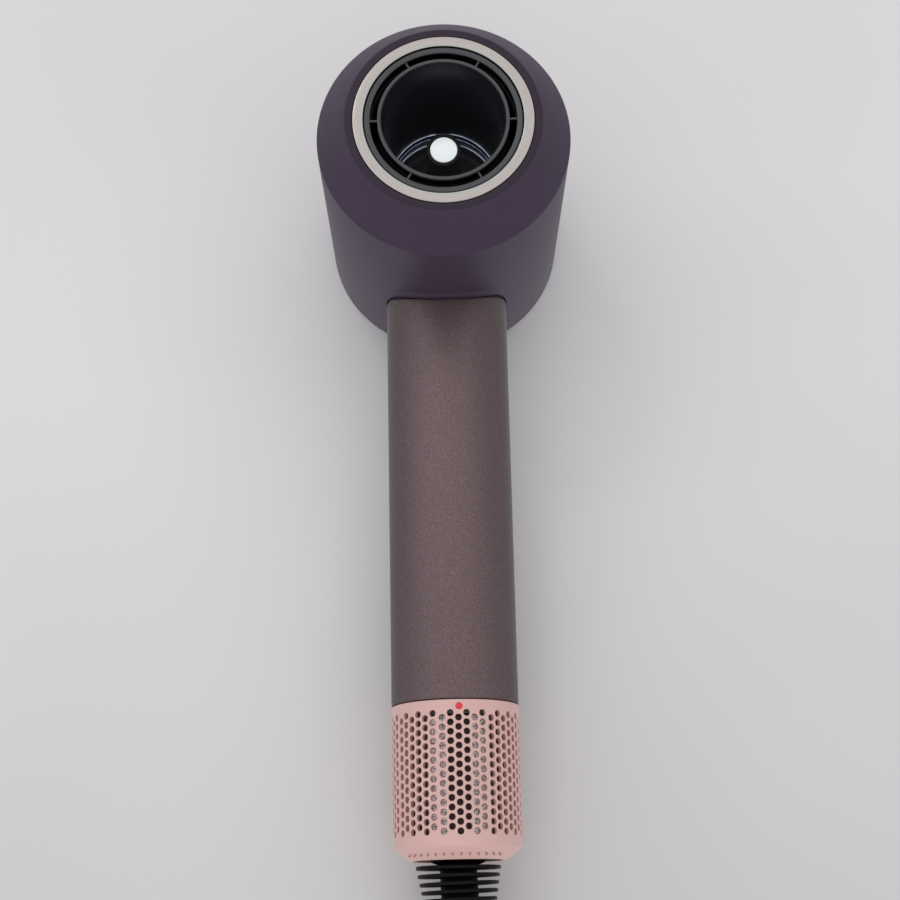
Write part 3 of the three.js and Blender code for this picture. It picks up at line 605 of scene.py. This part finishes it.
# Finishes of the inner CAD parts, by material slot: colour, roughness, metallic, grain size.
INNER_FINISHES = {
    "black_matte": ((0.03, 0.031, 0.034), 0.5, 0.0, 0.4),
    "white_lens": ((0.75, 0.78, 0.78), 0.25, 0.0, 1.0),
    "board_green": ((0.015, 0.09, 0.045), 0.45, 0.0, 0.8),
    "grey_plastic": ((0.25, 0.26, 0.27), 0.55, 0.0, 0.4),
    "mica_sheet": ((0.06, 0.05, 0.035), 0.8, 0.0, 1.5),
    "heater_alloy": ((0.27, 0.25, 0.24), 0.4, 0.9, 0.3),
    "magnet_alloy": ((0.17, 0.18, 0.19), 0.45, 0.8, 0.3),
    "copper_wire": ((0.50, 0.17, 0.06), 0.38, 0.9, 0.35),
    "plain_steel": ((0.52, 0.52, 0.52), 0.32, 1.0, 0.3),
    "cast_alloy": ((0.62, 0.62, 0.63), 0.35, 1.0, 0.4),
    "black_rubber": ((0.018, 0.018, 0.02), 0.55, 0.0, 0.5),
}


def dress_inner_parts():
    """Gives every CAD node that stays a procedural material of its slot."""
    looks = {
        slot: moulded("inner_" + slot, colour, rough, grain_mm=grain, metallic=metal, spread=0.12)
        for slot, (colour, rough, metal, grain) in INNER_FINISHES.items()
    }
    for part in frame["record"]["subparts"]:
        node = frame["nodes"][part["node"]]
        if node.hide_render:
            continue
        node.data.materials.clear()
        node.data.materials.append(looks[part["material_slot"]])


# ---- Head ----


SADDLE_STEPS = 216  # points round the curves where the head meets the handle


def collar():
    """The low collar in front of the handle's top, sinking into the drum towards the sides."""
    shell_end = HEAD_SEAM - 0.15
    sunk = 0.06  # how deep its faded sides lie in the drum
    root = -1.5  # its foot, inside the drum's wall
    steps = 8
    full = COLLAR_FLAT + COLLAR_SLOPE
    profile = [(0, root), (0, COLLAR_RISE - 0.2), (0.05, COLLAR_RISE - 0.06), (0.2, COLLAR_RISE)]
    profile.append((COLLAR_FLAT, COLLAR_RISE))
    for k in range(1, steps + 1):
        left = 1 - eased(k, 0, steps)
        profile.append((COLLAR_FLAT + COLLAR_SLOPE * k / steps, COLLAR_RISE * left))
    profile.append((full, root))

    def point(out, lift, angle):
        front = math.cos(angle)
        width = full if front >= 0 else min(full, (HANDLE_Y - shell_end) / front - COLLAR_INNER)
        level = lift if lift < 0 else (lift + sunk) * eased(front, 0.5, 0.92) - sunk
        return saddle_point(COLLAR_INNER + out * width / full, HEAD_RADIUS + level, angle)

    loops = [[point(out, lift, angle) for angle in turns(SADDLE_STEPS)] for out, lift in profile]
    return looped("collar", loops, PURPLE)


def handle_groove():
    """Cuts the dark joint between the head and the handle, widest in front."""
    low, high = HEAD_RADIUS + 4, HEAD_RADIUS - 1.3  # how far from the bore's axis the cut reaches
    side = HANDLE_RADIUS + SIDE_GAP

    def inner(angle):
        return HANDLE_RADIUS - 0.5

    def outer(angle):
        return side + (COLLAR_INNER - side) * eased(math.cos(angle), 0.25, 0.75)

    def loop(radius, level):
        return [saddle_point(radius(angle), level, angle) for angle in turns(SADDLE_STEPS)]

    return looped("groove", [loop(inner, low), loop(outer, low), loop(outer, high), loop(inner, high)], None)


def head_shell():
    cone_base = FRONT + CONE_LENGTH
    inner = HEAD_RADIUS - HEAD_WALL
    seat = RING_OUTER + 0.18
    opening = GRILLE_OUTER + 0.25
    ledge = RING_BACK + 0.25  # what the steel ring sits on
    behind = RING_BACK + 1.9
    outline = softened(
        [
            (inner, HEAD_SEAM, 0.2),
            (inner, cone_base + 1, 0.8),
            (RING_OUTER - 0.4, behind, 0.3),
            (opening, behind, 0.1),
            (opening, ledge, 0.1),
            (seat, ledge, 0.1),
            (seat, FRONT + 0.1, 0.25),
            (SHOULDER_RADIUS - 0.2, FRONT + 0.25, 0.7),
            (HEAD_RADIUS, cone_base, 0.5),
            (HEAD_RADIUS, HEAD_SEAM, 0.12),
        ],
        0.3,
        steps=5,
    )
    shell = revolved("head_shell_skin", outline, bore_point, PURPLE, steps=288)
    combine(shell, [collar()], "UNION")
    duct_hole = section(0, DUCT_RADIUS + 0.3, -HEAD_RADIUS - 6, -20)
    duct = revolved("duct_cutter", duct_hole, handle_point, None, steps=72)
    combine(shell, [duct, handle_groove()], "DIFFERENCE")
    stands_for(shell, "head_shell")


REAR_KEYS = {"speed_button": "speed_key", "heat_button": "heat_key", "mode_button": "mode_key"}
LIGHT_PINS = {"speed_light_pipe": 0, "heat_light_pipe": 180}  # degrees round the bore's axis
PIN_STEP = 9  # degrees
PIN_CIRCLE = 28
DISH_SHARE = 0.72  # of a disc's radius that its dished middle takes up
DISC_TURN = 0.1  # radians that keep a disc's points clear of those of the part it cuts


def centre_of(node):
    low, high = span(node)
    return (low + high) / 2


def about(middle, radius, low, high, name, material=None, steps=48, edge=0.0, dish=0.0):
    """A disc round a line along Y through a point, with a rolled rear edge and a dished rear face."""
    floor = high - dish
    corners = [(0, low), (radius, low), (radius, high, edge), (radius * DISH_SHARE, floor, 0.5), (0, floor)]
    outline = softened(corners, 0)

    def place(r, h, angle):
        return bore_point(r, h, angle + DISC_TURN) + Vector((middle.x, 0, middle.z)) * MM

    return revolved(name, outline, place, material, steps)


def pin_places(node):
    for step in (-1, 0, 1):
        angle = math.radians(LIGHT_PINS[node] + step * PIN_STEP)
        yield Vector((math.cos(angle), 0, math.sin(angle))) * PIN_CIRCLE


def rear_cover():
    front = span("rear_cover")[0].y
    rounding = 0.8
    rim = HEAD_RADIUS - rounding
    wall = HEAD_RADIUS - HEAD_WALL
    hub = span("rear_lens")[1].x + 0.1
    sleeve = hub + 1.2
    skin = -2.2  # the front face of the cover's skin
    seam = 0.1  # a fine bevel where the cover meets the shell
    outline = softened([(hub, -0.35, 0), (hub, -6), (sleeve, -6), (sleeve, skin), (wall - 1, skin, 0)], 0.2)
    outline += [Vector((wall, skin - 1)), Vector((wall, front))]
    outline += [Vector((HEAD_RADIUS - seam, front)), Vector((HEAD_RADIUS, front + seam))]
    for degrees in range(0, 91, 10):
        turn = math.radians(degrees)
        outline.append(Vector((rim + rounding * math.cos(turn), rounding * (math.sin(turn) - 1))))
    outline.append(Vector((hub + 0.35, 0)))
    cover = revolved("rear_cover_skin", outline, bore_point, PURPLE_BACK, steps=240)
    cutters = []
    low, high = -5, 3  # what the holes are cut between
    for node in REAR_KEYS:
        middle = centre_of(node)
        reach = span(node)[1].x - middle.x + 0.22
        cutters.append(about(middle, reach, low, high, "key_cutter"))
    for node in LIGHT_PINS:
        cutters.extend(about(spot, 0.85, low, high, "pin_cutter", steps=24) for spot in pin_places(node))
    combine(cover, cutters, "DIFFERENCE")
    stands_for(cover, "rear_cover")


def rear_keys():
    for node, body in REAR_KEYS.items():
        low, high = span(node)
        middle = centre_of(node)
        radius = high.x - middle.x
        cap = about(middle, radius, high.y - 2.8, high.y, node + "_cap", MATT_BLACK, 64, 0.5, 0.35)
        stem = about(middle, 1.5, low.y, high.y - 2.7, "stem", MATT_BLACK, 24)
        combine(cap, [stem], "UNION")
        stands_for(cap, node, body)


def light_pins():
    for node in LIGHT_PINS:
        low, high = span(node)
        foot = low.y + 0.6
        pins = [about(spot, 0.72, foot, high.y, "pin", WINDOW_PLAIN, 28, 0.15) for spot in pin_places(node)]
        middle = (PIN_CIRCLE * math.cos(math.radians(LIGHT_PINS[node])), low.y + 0.8, 0)
        bar = rounded_box("bar", (2.6, 1.4, 12.5), middle, WINDOW_PLAIN, 0.4)
        bar.name = node + "_lens"
        stands_for(combine(bar, pins, "UNION"), node)


def attachment_ring():
    inner = GRILLE_OUTER + 0.2
    outline = softened(section(inner, RING_OUTER, RING_BACK, FRONT), 0.22)
    ring = revolved("attachment_ring_face", outline, bore_point, RING_STEEL, steps=240)
    stands_for(ring, "attachment_ring")


def outlet_grille():
    """The lip, the outer ring and the six spokes between them, as one moulding."""
    low, high = span("outlet_grille")
    inner = LIP_INNER + 0.22  # the bore's lining runs up inside the lip
    lip = [(inner, high.y), (inner, low.y, 0.1), (LIP_OUTER, low.y), (LIP_OUTER, high.y)]
    grille = revolved("outlet_grille_ring", softened(lip, 0.15), bore_point, GRILLE_BLACK, steps=200)
    rim = [(SLOT_OUTER, high.y), (SLOT_OUTER, low.y + 0.35, 0.15), (GRILLE_OUTER - 0.35, low.y + 0.1, 0.3)]
    rim += [(GRILLE_OUTER, low.y + 0.5, 0.2), (GRILLE_OUTER, high.y)]
    parts = [revolved("rim", softened(rim, 0.15), bore_point, GRILLE_BLACK, steps=200)]
    spokes = 6
    middle = (LIP_OUTER + SLOT_OUTER) / 2
    size = (SLOT_OUTER - LIP_OUTER + 0.9, 2.4, 0.7)
    for angle in turns(spokes):
        place = (middle * math.cos(angle), low.y + 1.9, middle * math.sin(angle))
        parts.append(rounded_box("spoke", size, place, GRILLE_BLACK, 0.25, Matrix.Rotation(-angle, 4, "Y")))
    combine(grille, parts, "UNION")
    stands_for(grille, "outlet_grille")


def bore_liner():
    """A straight front tube that steps in behind the lip, then a wider bay for the lens."""
    wall = 1.2
    lens_bay = LENS_FRONT - 6.2
    rear_bore = LENS_RADIUS + 0.3
    lip_front = span("outlet_grille")[0].y + 0.2
    lip_back = span("outlet_grille")[1].y + 0.1
    step = LIP_INNER + 0.2
    corners = [(LIP_INNER, lip_front), (step, lip_front), (step, lip_back), (LIP_INNER + wall, lip_back)]
    corners += [(rear_bore + wall, lens_bay), (rear_bore + wall, LINER_REAR)]
    corners += [(rear_bore, LINER_REAR), (rear_bore, lens_bay)]
    liner = revolved("bore_liner_tube", softened(corners, 0.12, 2), bore_point, GLOSS_BLACK, steps=200)
    stands_for(liner, "bore_liner")


def fine_ring(name, radius, height, thick, material):
    """A thin round bead that runs round the bore."""
    circle = [math.radians(a) for a in range(0, 360, 45)]
    outline = [(radius + thick * math.cos(a), height + thick * math.sin(a)) for a in circle]
    return revolved(name, outline, bore_point, material, steps=200, sharp=80)


def lens_bezel():
    """A cone that closes the bore down to the lens, with narrow polished edges that carry a painted glint.
    """
    low, high = span("lens_bezel")
    outer = high.x
    throat = outer - 0.42
    step = low.y + 2.1
    corners = [(throat, high.y), (throat, step), (outer - 0.05, low.y)]
    corners += [(outer, low.y + 0.2), (outer, high.y)]
    bezel = revolved("lens_bezel_ring", softened(corners, 0.1, 2), bore_point, BEZEL_PAINTED_SHEEN, steps=200)
    stands_for(bezel, "lens_bezel")
    edges = [(outer - 0.06, low.y, 0.11), (throat + 0.02, step, 0.06)]
    edges.append((throat - 0.04, LENS_FRONT - 0.12, 0.08))
    for number, (radius, height, thick) in enumerate(edges, 1):
        bead = fine_ring(f"bezel_edge_{number}", radius, height, thick, PAINTED_GLINT_EDGE)
        stands_for(bead, None)


def front_lens():
    inner = span("sensor_capsule")[1].x
    hole = WINDOW_RADIUS + 1.7
    corners = [(hole, LENS_REAR), (hole, LENS_FRONT), (inner, LENS_FRONT)]
    corners += [(LENS_RADIUS, LENS_FRONT + 0.2), (LENS_RADIUS, LENS_REAR)]
    lens = revolved("front_lens_disc", softened(corners, 0.12), bore_point, SMOKED)
    stands_for(lens, "front_lens")


def sensor():
    """The capsule on the bore's axis, flared where it stands on the lens, and its white window."""
    low, high = span("sensor_capsule")
    tube = WINDOW_RADIUS + 1.3
    seat = WINDOW_RADIUS + 0.1
    flare = high.x
    collar_back = LENS_FRONT - 0.35
    face = low.y + 0.2
    outline = softened(
        [
            (seat, face + 0.15),
            (seat + 0.15, face, 0.1),
            (tube, face, 0.3),
            (tube, LENS_FRONT - 7.5, 3),
            (flare, LENS_FRONT - 0.75, 0.3),
            (flare, collar_back, 0.1),
            (tube, collar_back, 0.1),
            (tube, high.y),
            (seat, high.y),
        ],
        0.2,
        5,
    )
    capsule = revolved("sensor_capsule_body", outline, bore_point, SENSOR_BLACK, steps=96)
    stands_for(capsule, "sensor_capsule")
    depth = span("sensor_window")[1].y
    crown = 0.35  # how far the window's face bulges
    glass = [(0, depth), (WINDOW_RADIUS, depth)]
    for share in (0.999, 0.9, 0.75, 0.5, 0.25, 0):
        glass.append((WINDOW_RADIUS * share, WINDOW_FRONT + crown * share**2))
    window = revolved("sensor_window_glass", glass, bore_point, WINDOW, steps=96)
    stands_for(window, "sensor_window")


def rear_lens():
    low, high = span("rear_lens")
    outline = softened([(0, low.y), (high.x, low.y), (high.x, high.y, 0.5), (0, high.y)], 0.3, 5)
    lens = revolved("rear_lens_disc", outline, bore_point, SMOKED)
    stands_for(lens, "rear_lens")


# ---- Handle ----


def handle_tube():
    """The painted tube, cut to the drum's curve at its top, with openings for the two controls."""
    inner = HANDLE_RADIUS - HANDLE_WALL
    top = HEAD_RADIUS + HANDLE_GAP
    crown = [(0, 0.5), (0.04, 0.25), (0.15, 0.08), (0.4, 0), (HANDLE_WALL, 0)]  # inset and drop
    rim = [(0.6, 0), (0.25, 0.1), (0.05, 0.35), (0, 0.8)]  # inset and lift
    angles = turns(192)
    loops = [[saddle_point(HANDLE_RADIUS - inset, top + drop, a) for a in angles] for inset, drop in crown]
    loops.append([handle_point(inner, HANDLE_FOOT, a) for a in angles])
    for inset, lift in rim:
        loops.append([handle_point(HANDLE_RADIUS - inset, HANDLE_FOOT + lift, a) for a in angles])
    tube = looped("handle_tube_skin", loops, BRONZE)
    back = HANDLE_Y + HANDLE_RADIUS
    half_travel = 2  # of the power slider
    middle = (0, back, centre_of("power_slider").z + half_travel)
    slot = rounded_box("slot", (4.4, 12, 10), middle, None, 1.5)
    hole = about(centre_of("cool_shot_button"), 4.2, back - 5, back + 5, "hole")
    combine(tube, [slot, hole], "DIFFERENCE")
    stands_for(tube, "handle_tube")


def power_slider():
    low, high = span("power_slider")
    size = high - low
    middle = (low + high) / 2
    cap_depth = 1.6
    rib_pitch = 1.5
    cap_size = (size.x, cap_depth, size.z)
    cap = rounded_box("power_slider_cap", cap_size, (0, high.y - cap_depth / 2, middle.z), MATT_BLACK, 0.6)
    stem = rounded_box("stem", (3.4, size.y - 0.6, 5.2), (0, middle.y - 0.3, middle.z), MATT_BLACK, 0.2)
    ribs = []
    for step in (-2, -1, 0, 1, 2):
        place = (0, high.y + 0.05, middle.z + step * rib_pitch)
        ribs.append(rounded_box("rib", (size.x - 2, 0.7, 0.7), place, MATT_BLACK, 0.2))
    combine(cap, [stem] + ribs, "UNION")
    stands_for(cap, "power_slider", "power_switch")


def cool_shot_button():
    low, high = span("cool_shot_button")
    middle = centre_of("cool_shot_button")
    cap = about(middle, 3.88, low.y + 0.1, high.y, "cool_shot_cap", MATT_BLACK, 72, 0.5, 0.4)
    flange = about(middle, 4.85, low.y, low.y + 0.5, "flange", MATT_BLACK)
    combine(cap, [flange], "UNION")
    stands_for(cap, "cool_shot_button", "cool_shot")


# ---- Filter ----


def sheet_angle(index):
    """Angle of a mesh line round the cage: the cells of each group, then one narrow plain strip."""
    group, line = divmod(index, GROUP_LINES)
    start = FIRST_COLUMN - COLUMN_STEP / 2 + group * 360 / GROUPS
    return math.radians(start + line * COLUMN_STEP / PARTS)


def sheet_height(level):
    return HOLES_TOP - level * ROW_STEP / PARTS


class CageSheet:
    """The perforated wall of the filter cage, as vertices shared between neighbouring cells."""

    def __init__(self):
        self.verts = []
        self.faces = []
        self.shared = {}
        self.lines = GROUPS * GROUP_LINES
        self.levels = (ROWS * 2 + 1) * PARTS // 2

    def add(self, radius, height, angle):
        self.verts.append(handle_point(radius, height, angle))
        return len(self.verts) - 1

    def corner(self, radius, line, level):
        key = (radius, line % self.lines, level)
        if key not in self.shared:
            self.shared[key] = self.add(radius, sheet_height(level), sheet_angle(line % self.lines))
        return self.shared[key]

    def strip(self, first, last):
        """Quads between two loops of vertices, closed round."""
        for k in range(len(first)):
            after = (k + 1) % len(first)
            self.faces.append((first[k], first[after], last[after], last[k]))

    def plain(self, line, level):
        """One plain mesh square, on the outside and on the inside."""
        for radius in self.skins():
            square = ((line, level), (line + 1, level), (line + 1, level + 1), (line, level + 1))
            self.faces.append(tuple(self.corner(radius, *place) for place in square))

    def cell(self, line, level):
        """One hole in its cell: outer face, chamfer, wall and inner face."""
        path = [(k, 0) for k in range(PARTS)] + [(PARTS, k) for k in range(PARTS)]
        path += [(PARTS - k, PARTS) for k in range(PARTS)] + [(0, PARTS - k) for k in range(PARTS)]
        part_angle = math.radians(COLUMN_STEP / PARTS)
        middle_angle = (sheet_angle(line) + sheet_angle(line + PARTS - 1) + part_angle) / 2
        middle_height = sheet_height(level + PARTS / 2)

        def rim(radius):
            return [self.corner(radius, line + a, level + b) for a, b in path]

        def ring(radius, size):
            loop = []
            for a, b in path:
                across = (a - PARTS / 2) * part_angle * CAGE_RADIUS
                up = (PARTS / 2 - b) * ROW_STEP / PARTS
                turn = math.atan2(up, across)
                height = middle_height + size * math.sin(turn)
                loop.append(self.add(radius, height, middle_angle + size * math.cos(turn) / CAGE_RADIUS))
            return loop

        outer, inner = self.skins()
        loops = [
            rim(outer),
            ring(outer, HOLE_RADIUS + HOLE_EDGE),
            ring(outer - HOLE_EDGE, HOLE_RADIUS),
            ring(inner, HOLE_RADIUS),
            rim(inner),
        ]
        for first, last in zip(loops, loops[1:]):
            self.strip(first, last)

    @staticmethod
    def skins():
        return CAGE_RADIUS, CAGE_RADIUS - CAGE_WALL

    def fill(self):
        for group in range(GROUPS):
            start = group * GROUP_LINES
            for column in range(COLUMNS):
                line = start + column * PARTS
                lowered = 2 if column % 2 == 0 else 0
                for row in range(ROWS):
                    self.cell(line, lowered + row * PARTS)
                spare = (0, 1) if lowered else (self.levels - 2, self.levels - 1)
                for level in spare:
                    for k in range(PARTS):
                        self.plain(line + k, level)
            for level in range(self.levels):
                self.plain(start + GROUP_LINES - 1, level)

    def hem(self, level, outline):
        """Carries the wall round an edge, from the outer skin at a level to the inner one."""
        outer, inner = self.skins()
        loops = [[self.corner(outer, k, level) for k in range(self.lines)]]
        for radius, height in outline:
            loops.append([self.add(radius, height, sheet_angle(k)) for k in range(self.lines)])
        loops.append([self.corner(inner, k, level) for k in range(self.lines)])
        for first, last in zip(loops, loops[1:]):
            self.strip(first, last)


def filter_cage():
    sheet = CageSheet()
    sheet.fill()
    outer, inner = sheet.skins()
    under = CAGE_TOP - 2
    top = softened([(outer, under), (outer, CAGE_TOP, 0.45), (inner, CAGE_TOP, 0.3), (inner, under)], 0)
    sheet.hem(0, top)
    opening = 13.7  # the hole in the cage's foot that the boot comes out of
    foot = softened(
        [
            (outer, BEVEL_TOP + 1.3),
            (outer, BEVEL_TOP, 0.45),
            (BEVEL_RADIUS, CAGE_FOOT, 0.35),
            (opening, CAGE_FOOT, 0.25),
            (opening, CAGE_FOOT + 1.3, 0.2),
            (inner, BEVEL_TOP + 0.7, 0.3),
        ],
        0,
    )
    sheet.hem(sheet.levels, foot)
    cage = finish_mesh("filter_cage_wall", sheet.verts, sheet.faces, PINK, sharp=34)
    stands_for(cage, "filter_cage", "filter")


def bevel_ticks():
    """A row of plain raised ticks round the front of the bevel, coloured a deeper pink for painted shade."""
    ticks = []
    drop = CAGE_RADIUS - BEVEL_RADIUS
    slope = math.atan2(drop, BEVEL_HEIGHT)
    share = 0.42  # of the way up the bevel
    pitch, first_turn, count = 8.7, -57.9, 13  # degrees, and how many ticks there are
    for k in range(count):
        angle = math.radians(first_turn + k * pitch)
        turn = Matrix.Rotation(angle, 4, "Z") @ Matrix.Rotation(-slope, 4, "X")
        place = handle_point(BEVEL_RADIUS + drop * share, CAGE_FOOT + BEVEL_HEIGHT * share, angle) / MM
        ticks.append(rounded_box("tick", (0.6, 0.5, 1.9), place, TICK_PAINTED_SHADE, 0.15, turn))
    stands_for(joined("bevel_ticks", ticks), None, "filter")


def lock_mark():
    """The red dot, a thin skin that follows the cage."""
    middle = centre_of("lock_mark")
    radius = 1.12
    lean = math.radians(3.2)  # the mark sits a little to one side of the front
    face, root = 0.05, -0.2  # from the cage's skin
    outline = [(0, face), (radius * 0.6, face), (radius * 0.92, 0.045)]
    outline += [(radius, 0), (radius, root), (0, root)]

    def place(size, lift, turn):
        height = middle.z + size * math.sin(turn)
        return handle_point(CAGE_RADIUS + lift, height, lean + size * math.cos(turn) / CAGE_RADIUS)

    mark = revolved("lock_mark_dot", outline, place, RED, steps=40)
    stands_for(mark, "lock_mark", "filter")


SCREEN_DEPTH = 0.5


def filter_screen():
    low, high = span("filter_screen")
    outline = softened(section(high.x - SCREEN_DEPTH, high.x, low.z, high.z), 0.1)
    screen = revolved("filter_screen_weave", outline, handle_point, SCREEN)
    stands_for(screen, "filter_screen")


def filter_latch():
    """The ring that the cage locks on to, bare when the cage is pulled off."""
    low, high = span("filter_latch_ring")
    inner = span("filter_screen")[1].x - SCREEN_DEPTH
    outline = softened(section(inner, high.x, low.z, high.z), 0.15)
    ring = revolved("filter_latch_band", outline, handle_point, MATT_BLACK)
    stands_for(ring, "filter_latch_ring", "filter_latch")


# ---- Cord ----

FIN_TOP = CAGE_FOOT - 1.4
BEND_START, BEND_END = FIN_TOP, FIN_TOP - 6  # heights between which the boot bends
BEND = math.radians(-1.8)


def leaning_point(radius, height, angle):
    """A point of the cord or its boot, which lean a little to one side below the filter."""
    share = min(max((BEND_START - height) / (BEND_START - BEND_END), 0), 1)
    pivot = Vector((0, HANDLE_Y, BEND_START)) * MM
    turn = Matrix.Rotation(BEND * share, 3, "Y")
    return pivot + turn @ (handle_point(radius, height, angle) - pivot)


def cable_boot():
    fins = 12
    pitch, thick = 2.34, 1.15
    first_fin, taper = 12.9, 0.42  # the top fin's radius, and how much smaller each next one is
    core = 5.7
    bore = CABLE_RADIUS + 0.15
    anchor, under = 8.5, BOOT_TOP - 3  # the wide part that holds the boot in the filter
    neck = CAGE_FOOT + 1.2
    corners = [(bore, BOOT_TOP), (anchor, BOOT_TOP), (anchor, under), (core, under), (core, neck)]
    corners += [(anchor, neck), (anchor + 0.1, CAGE_FOOT - 0.2), (core, FIN_TOP + 0.1, 1)]
    outline = softened(corners, 0.3, 3)
    for k in range(fins):
        top = FIN_TOP - k * pitch
        radius = first_fin - k * taper
        fin = [
            (core, top + 0.2, 0),
            (core, top, 0.4),
            (radius, top - 0.05, 0.35),
            (radius, top - thick + 0.05, 0.35),
            (core, top - thick, 0.4),
            (core, top - pitch + 0.3, 0),
        ]
        outline += softened(fin, 0)[1:-1]
    outline += softened([(core, BOOT_FOOT + 6, 0), (core - 0.9, BOOT_FOOT, 0.8), (bore, BOOT_FOOT, 0.1)], 0)
    boot = revolved("cable_boot_fins", outline, leaning_point, RUBBER, steps=120, sharp=50)
    stands_for(boot, "cable_boot")


def power_cable():
    rows = 60  # steps down the cord, for it to bend smoothly
    start, end = CABLE_TOP - 0.5, CABLE_FOOT + 0.5
    outline = [(0, CABLE_TOP)] + [(CABLE_RADIUS, start + (end - start) * k / rows) for k in range(rows + 1)]
    outline += softened([(CABLE_RADIUS, end), (CABLE_RADIUS, CABLE_FOOT, 0.4), (0, CABLE_FOOT)], 0)[1:]
    cable = revolved("power_cable_jacket", outline, leaning_point, RUBBER, steps=48)
    stands_for(cable, "power_cable")


# ---- Table, light and camera ----

TABLE_TILT = math.radians(3.2)  # the head's back edge and the filter both touch the table
TABLE_TOUCH = Vector((0, 0.0006, -0.034))  # a point of the table, in metres
TABLE_REACH = 3.0  # from that point to each edge, in metres

# Each light's place, size in metres, power in watts and colour.
LIGHTS = {
    "front_light": ((0.0, -1.5, 0.6), (2.7, 1.2), 7.0, (1, 0.985, 0.975)),
    "low_light": ((0.1, -1.1, -1.1), (1.8, 0.8), 3.8, (1, 0.99, 0.985)),
    "left_light": ((-1.2, -0.8, 0.6), (1.0, 1.0), 2.1, (0.98, 0.985, 1)),
    "glint_light": ((-0.45, -1.2, 0.75), (0.2, 0.2), 0.8, (1, 1, 1)),
}
LIT_POINT = Vector((0, -0.04, -0.09))  # what the lights are turned to
ROOM_COLOUR, ROOM_STRENGTH = (0.98, 0.98, 1.0, 1), 0.70

CAMERA_PLACE = (-0.0024, -0.5553, -0.2342)
CAMERA_PITCH, CAMERA_YAW, CAMERA_ROLL = math.radians(15.94), math.radians(-0.279), math.radians(-1.236)
FOCAL_LENGTH, SENSOR_WIDTH = 67.45, 36  # millimetres


def table():
    """The pale table that the dryer lies on, behind it in this frame."""
    across = Vector((1, 0, 0))
    along = Vector((0, math.sin(TABLE_TILT), math.cos(TABLE_TILT)))
    sides = [(-1, -1), (1, -1), (1, 1), (-1, 1)]
    corners = [TABLE_TOUCH + (across * a + along * b) * TABLE_REACH for a, b in sides]
    mesh = bpy.data.meshes.new("table")
    mesh.from_pydata(corners, [], [(0, 1, 2, 3)])
    mesh.materials.append(TABLE)
    top = added("table", mesh)
    top.visible_diffuse = False  # the room's light reaches the dryer's back, as if no table were there
    top.visible_glossy = False


def softbox(name, place, size, power, colour):
    lamp = bpy.data.lights.new(name, "AREA")
    lamp.shape = "RECTANGLE"
    lamp.size, lamp.size_y = size
    lamp.energy = power
    lamp.color = colour
    holder = added(name, lamp)
    holder.location = place
    holder.rotation_euler = (LIT_POINT - Vector(place)).to_track_quat("-Z", "Y").to_euler()


def lights():
    for name, (place, size, power, colour) in LIGHTS.items():
        softbox(name, place, size, power, colour)
    world = bpy.data.worlds.new("pale_room")
    bpy.context.scene.world = world
    world.use_nodes = True
    sky = world.node_tree.nodes["Background"]
    sky.inputs["Color"].default_value = ROOM_COLOUR
    sky.inputs["Strength"].default_value = ROOM_STRENGTH


def camera():
    eye = bpy.data.cameras.new("camera")
    eye.lens = FOCAL_LENGTH
    eye.sensor_width = SENSOR_WIDTH
    eye.clip_start = 0.01
    holder = added("camera", eye)
    holder.location = CAMERA_PLACE
    aim = Euler((math.pi / 2 + CAMERA_PITCH, 0, CAMERA_YAW), "XYZ").to_matrix()
    holder.rotation_euler = (aim @ Matrix.Rotation(CAMERA_ROLL, 3, "Z")).to_euler()
    bpy.context.scene.camera = holder


head_shell()
rear_cover()
rear_keys()
light_pins()
attachment_ring()
outlet_grille()
bore_liner()
lens_bezel()
front_lens()
sensor()
rear_lens()
handle_tube()
power_slider()
cool_shot_button()
filter_cage()
bevel_ticks()
lock_mark()
filter_screen()
filter_latch()
cable_boot()
power_cable()
dress_inner_parts()
table()
lights()
camera()
bpy.context.scene.view_settings.view_transform = "Standard"
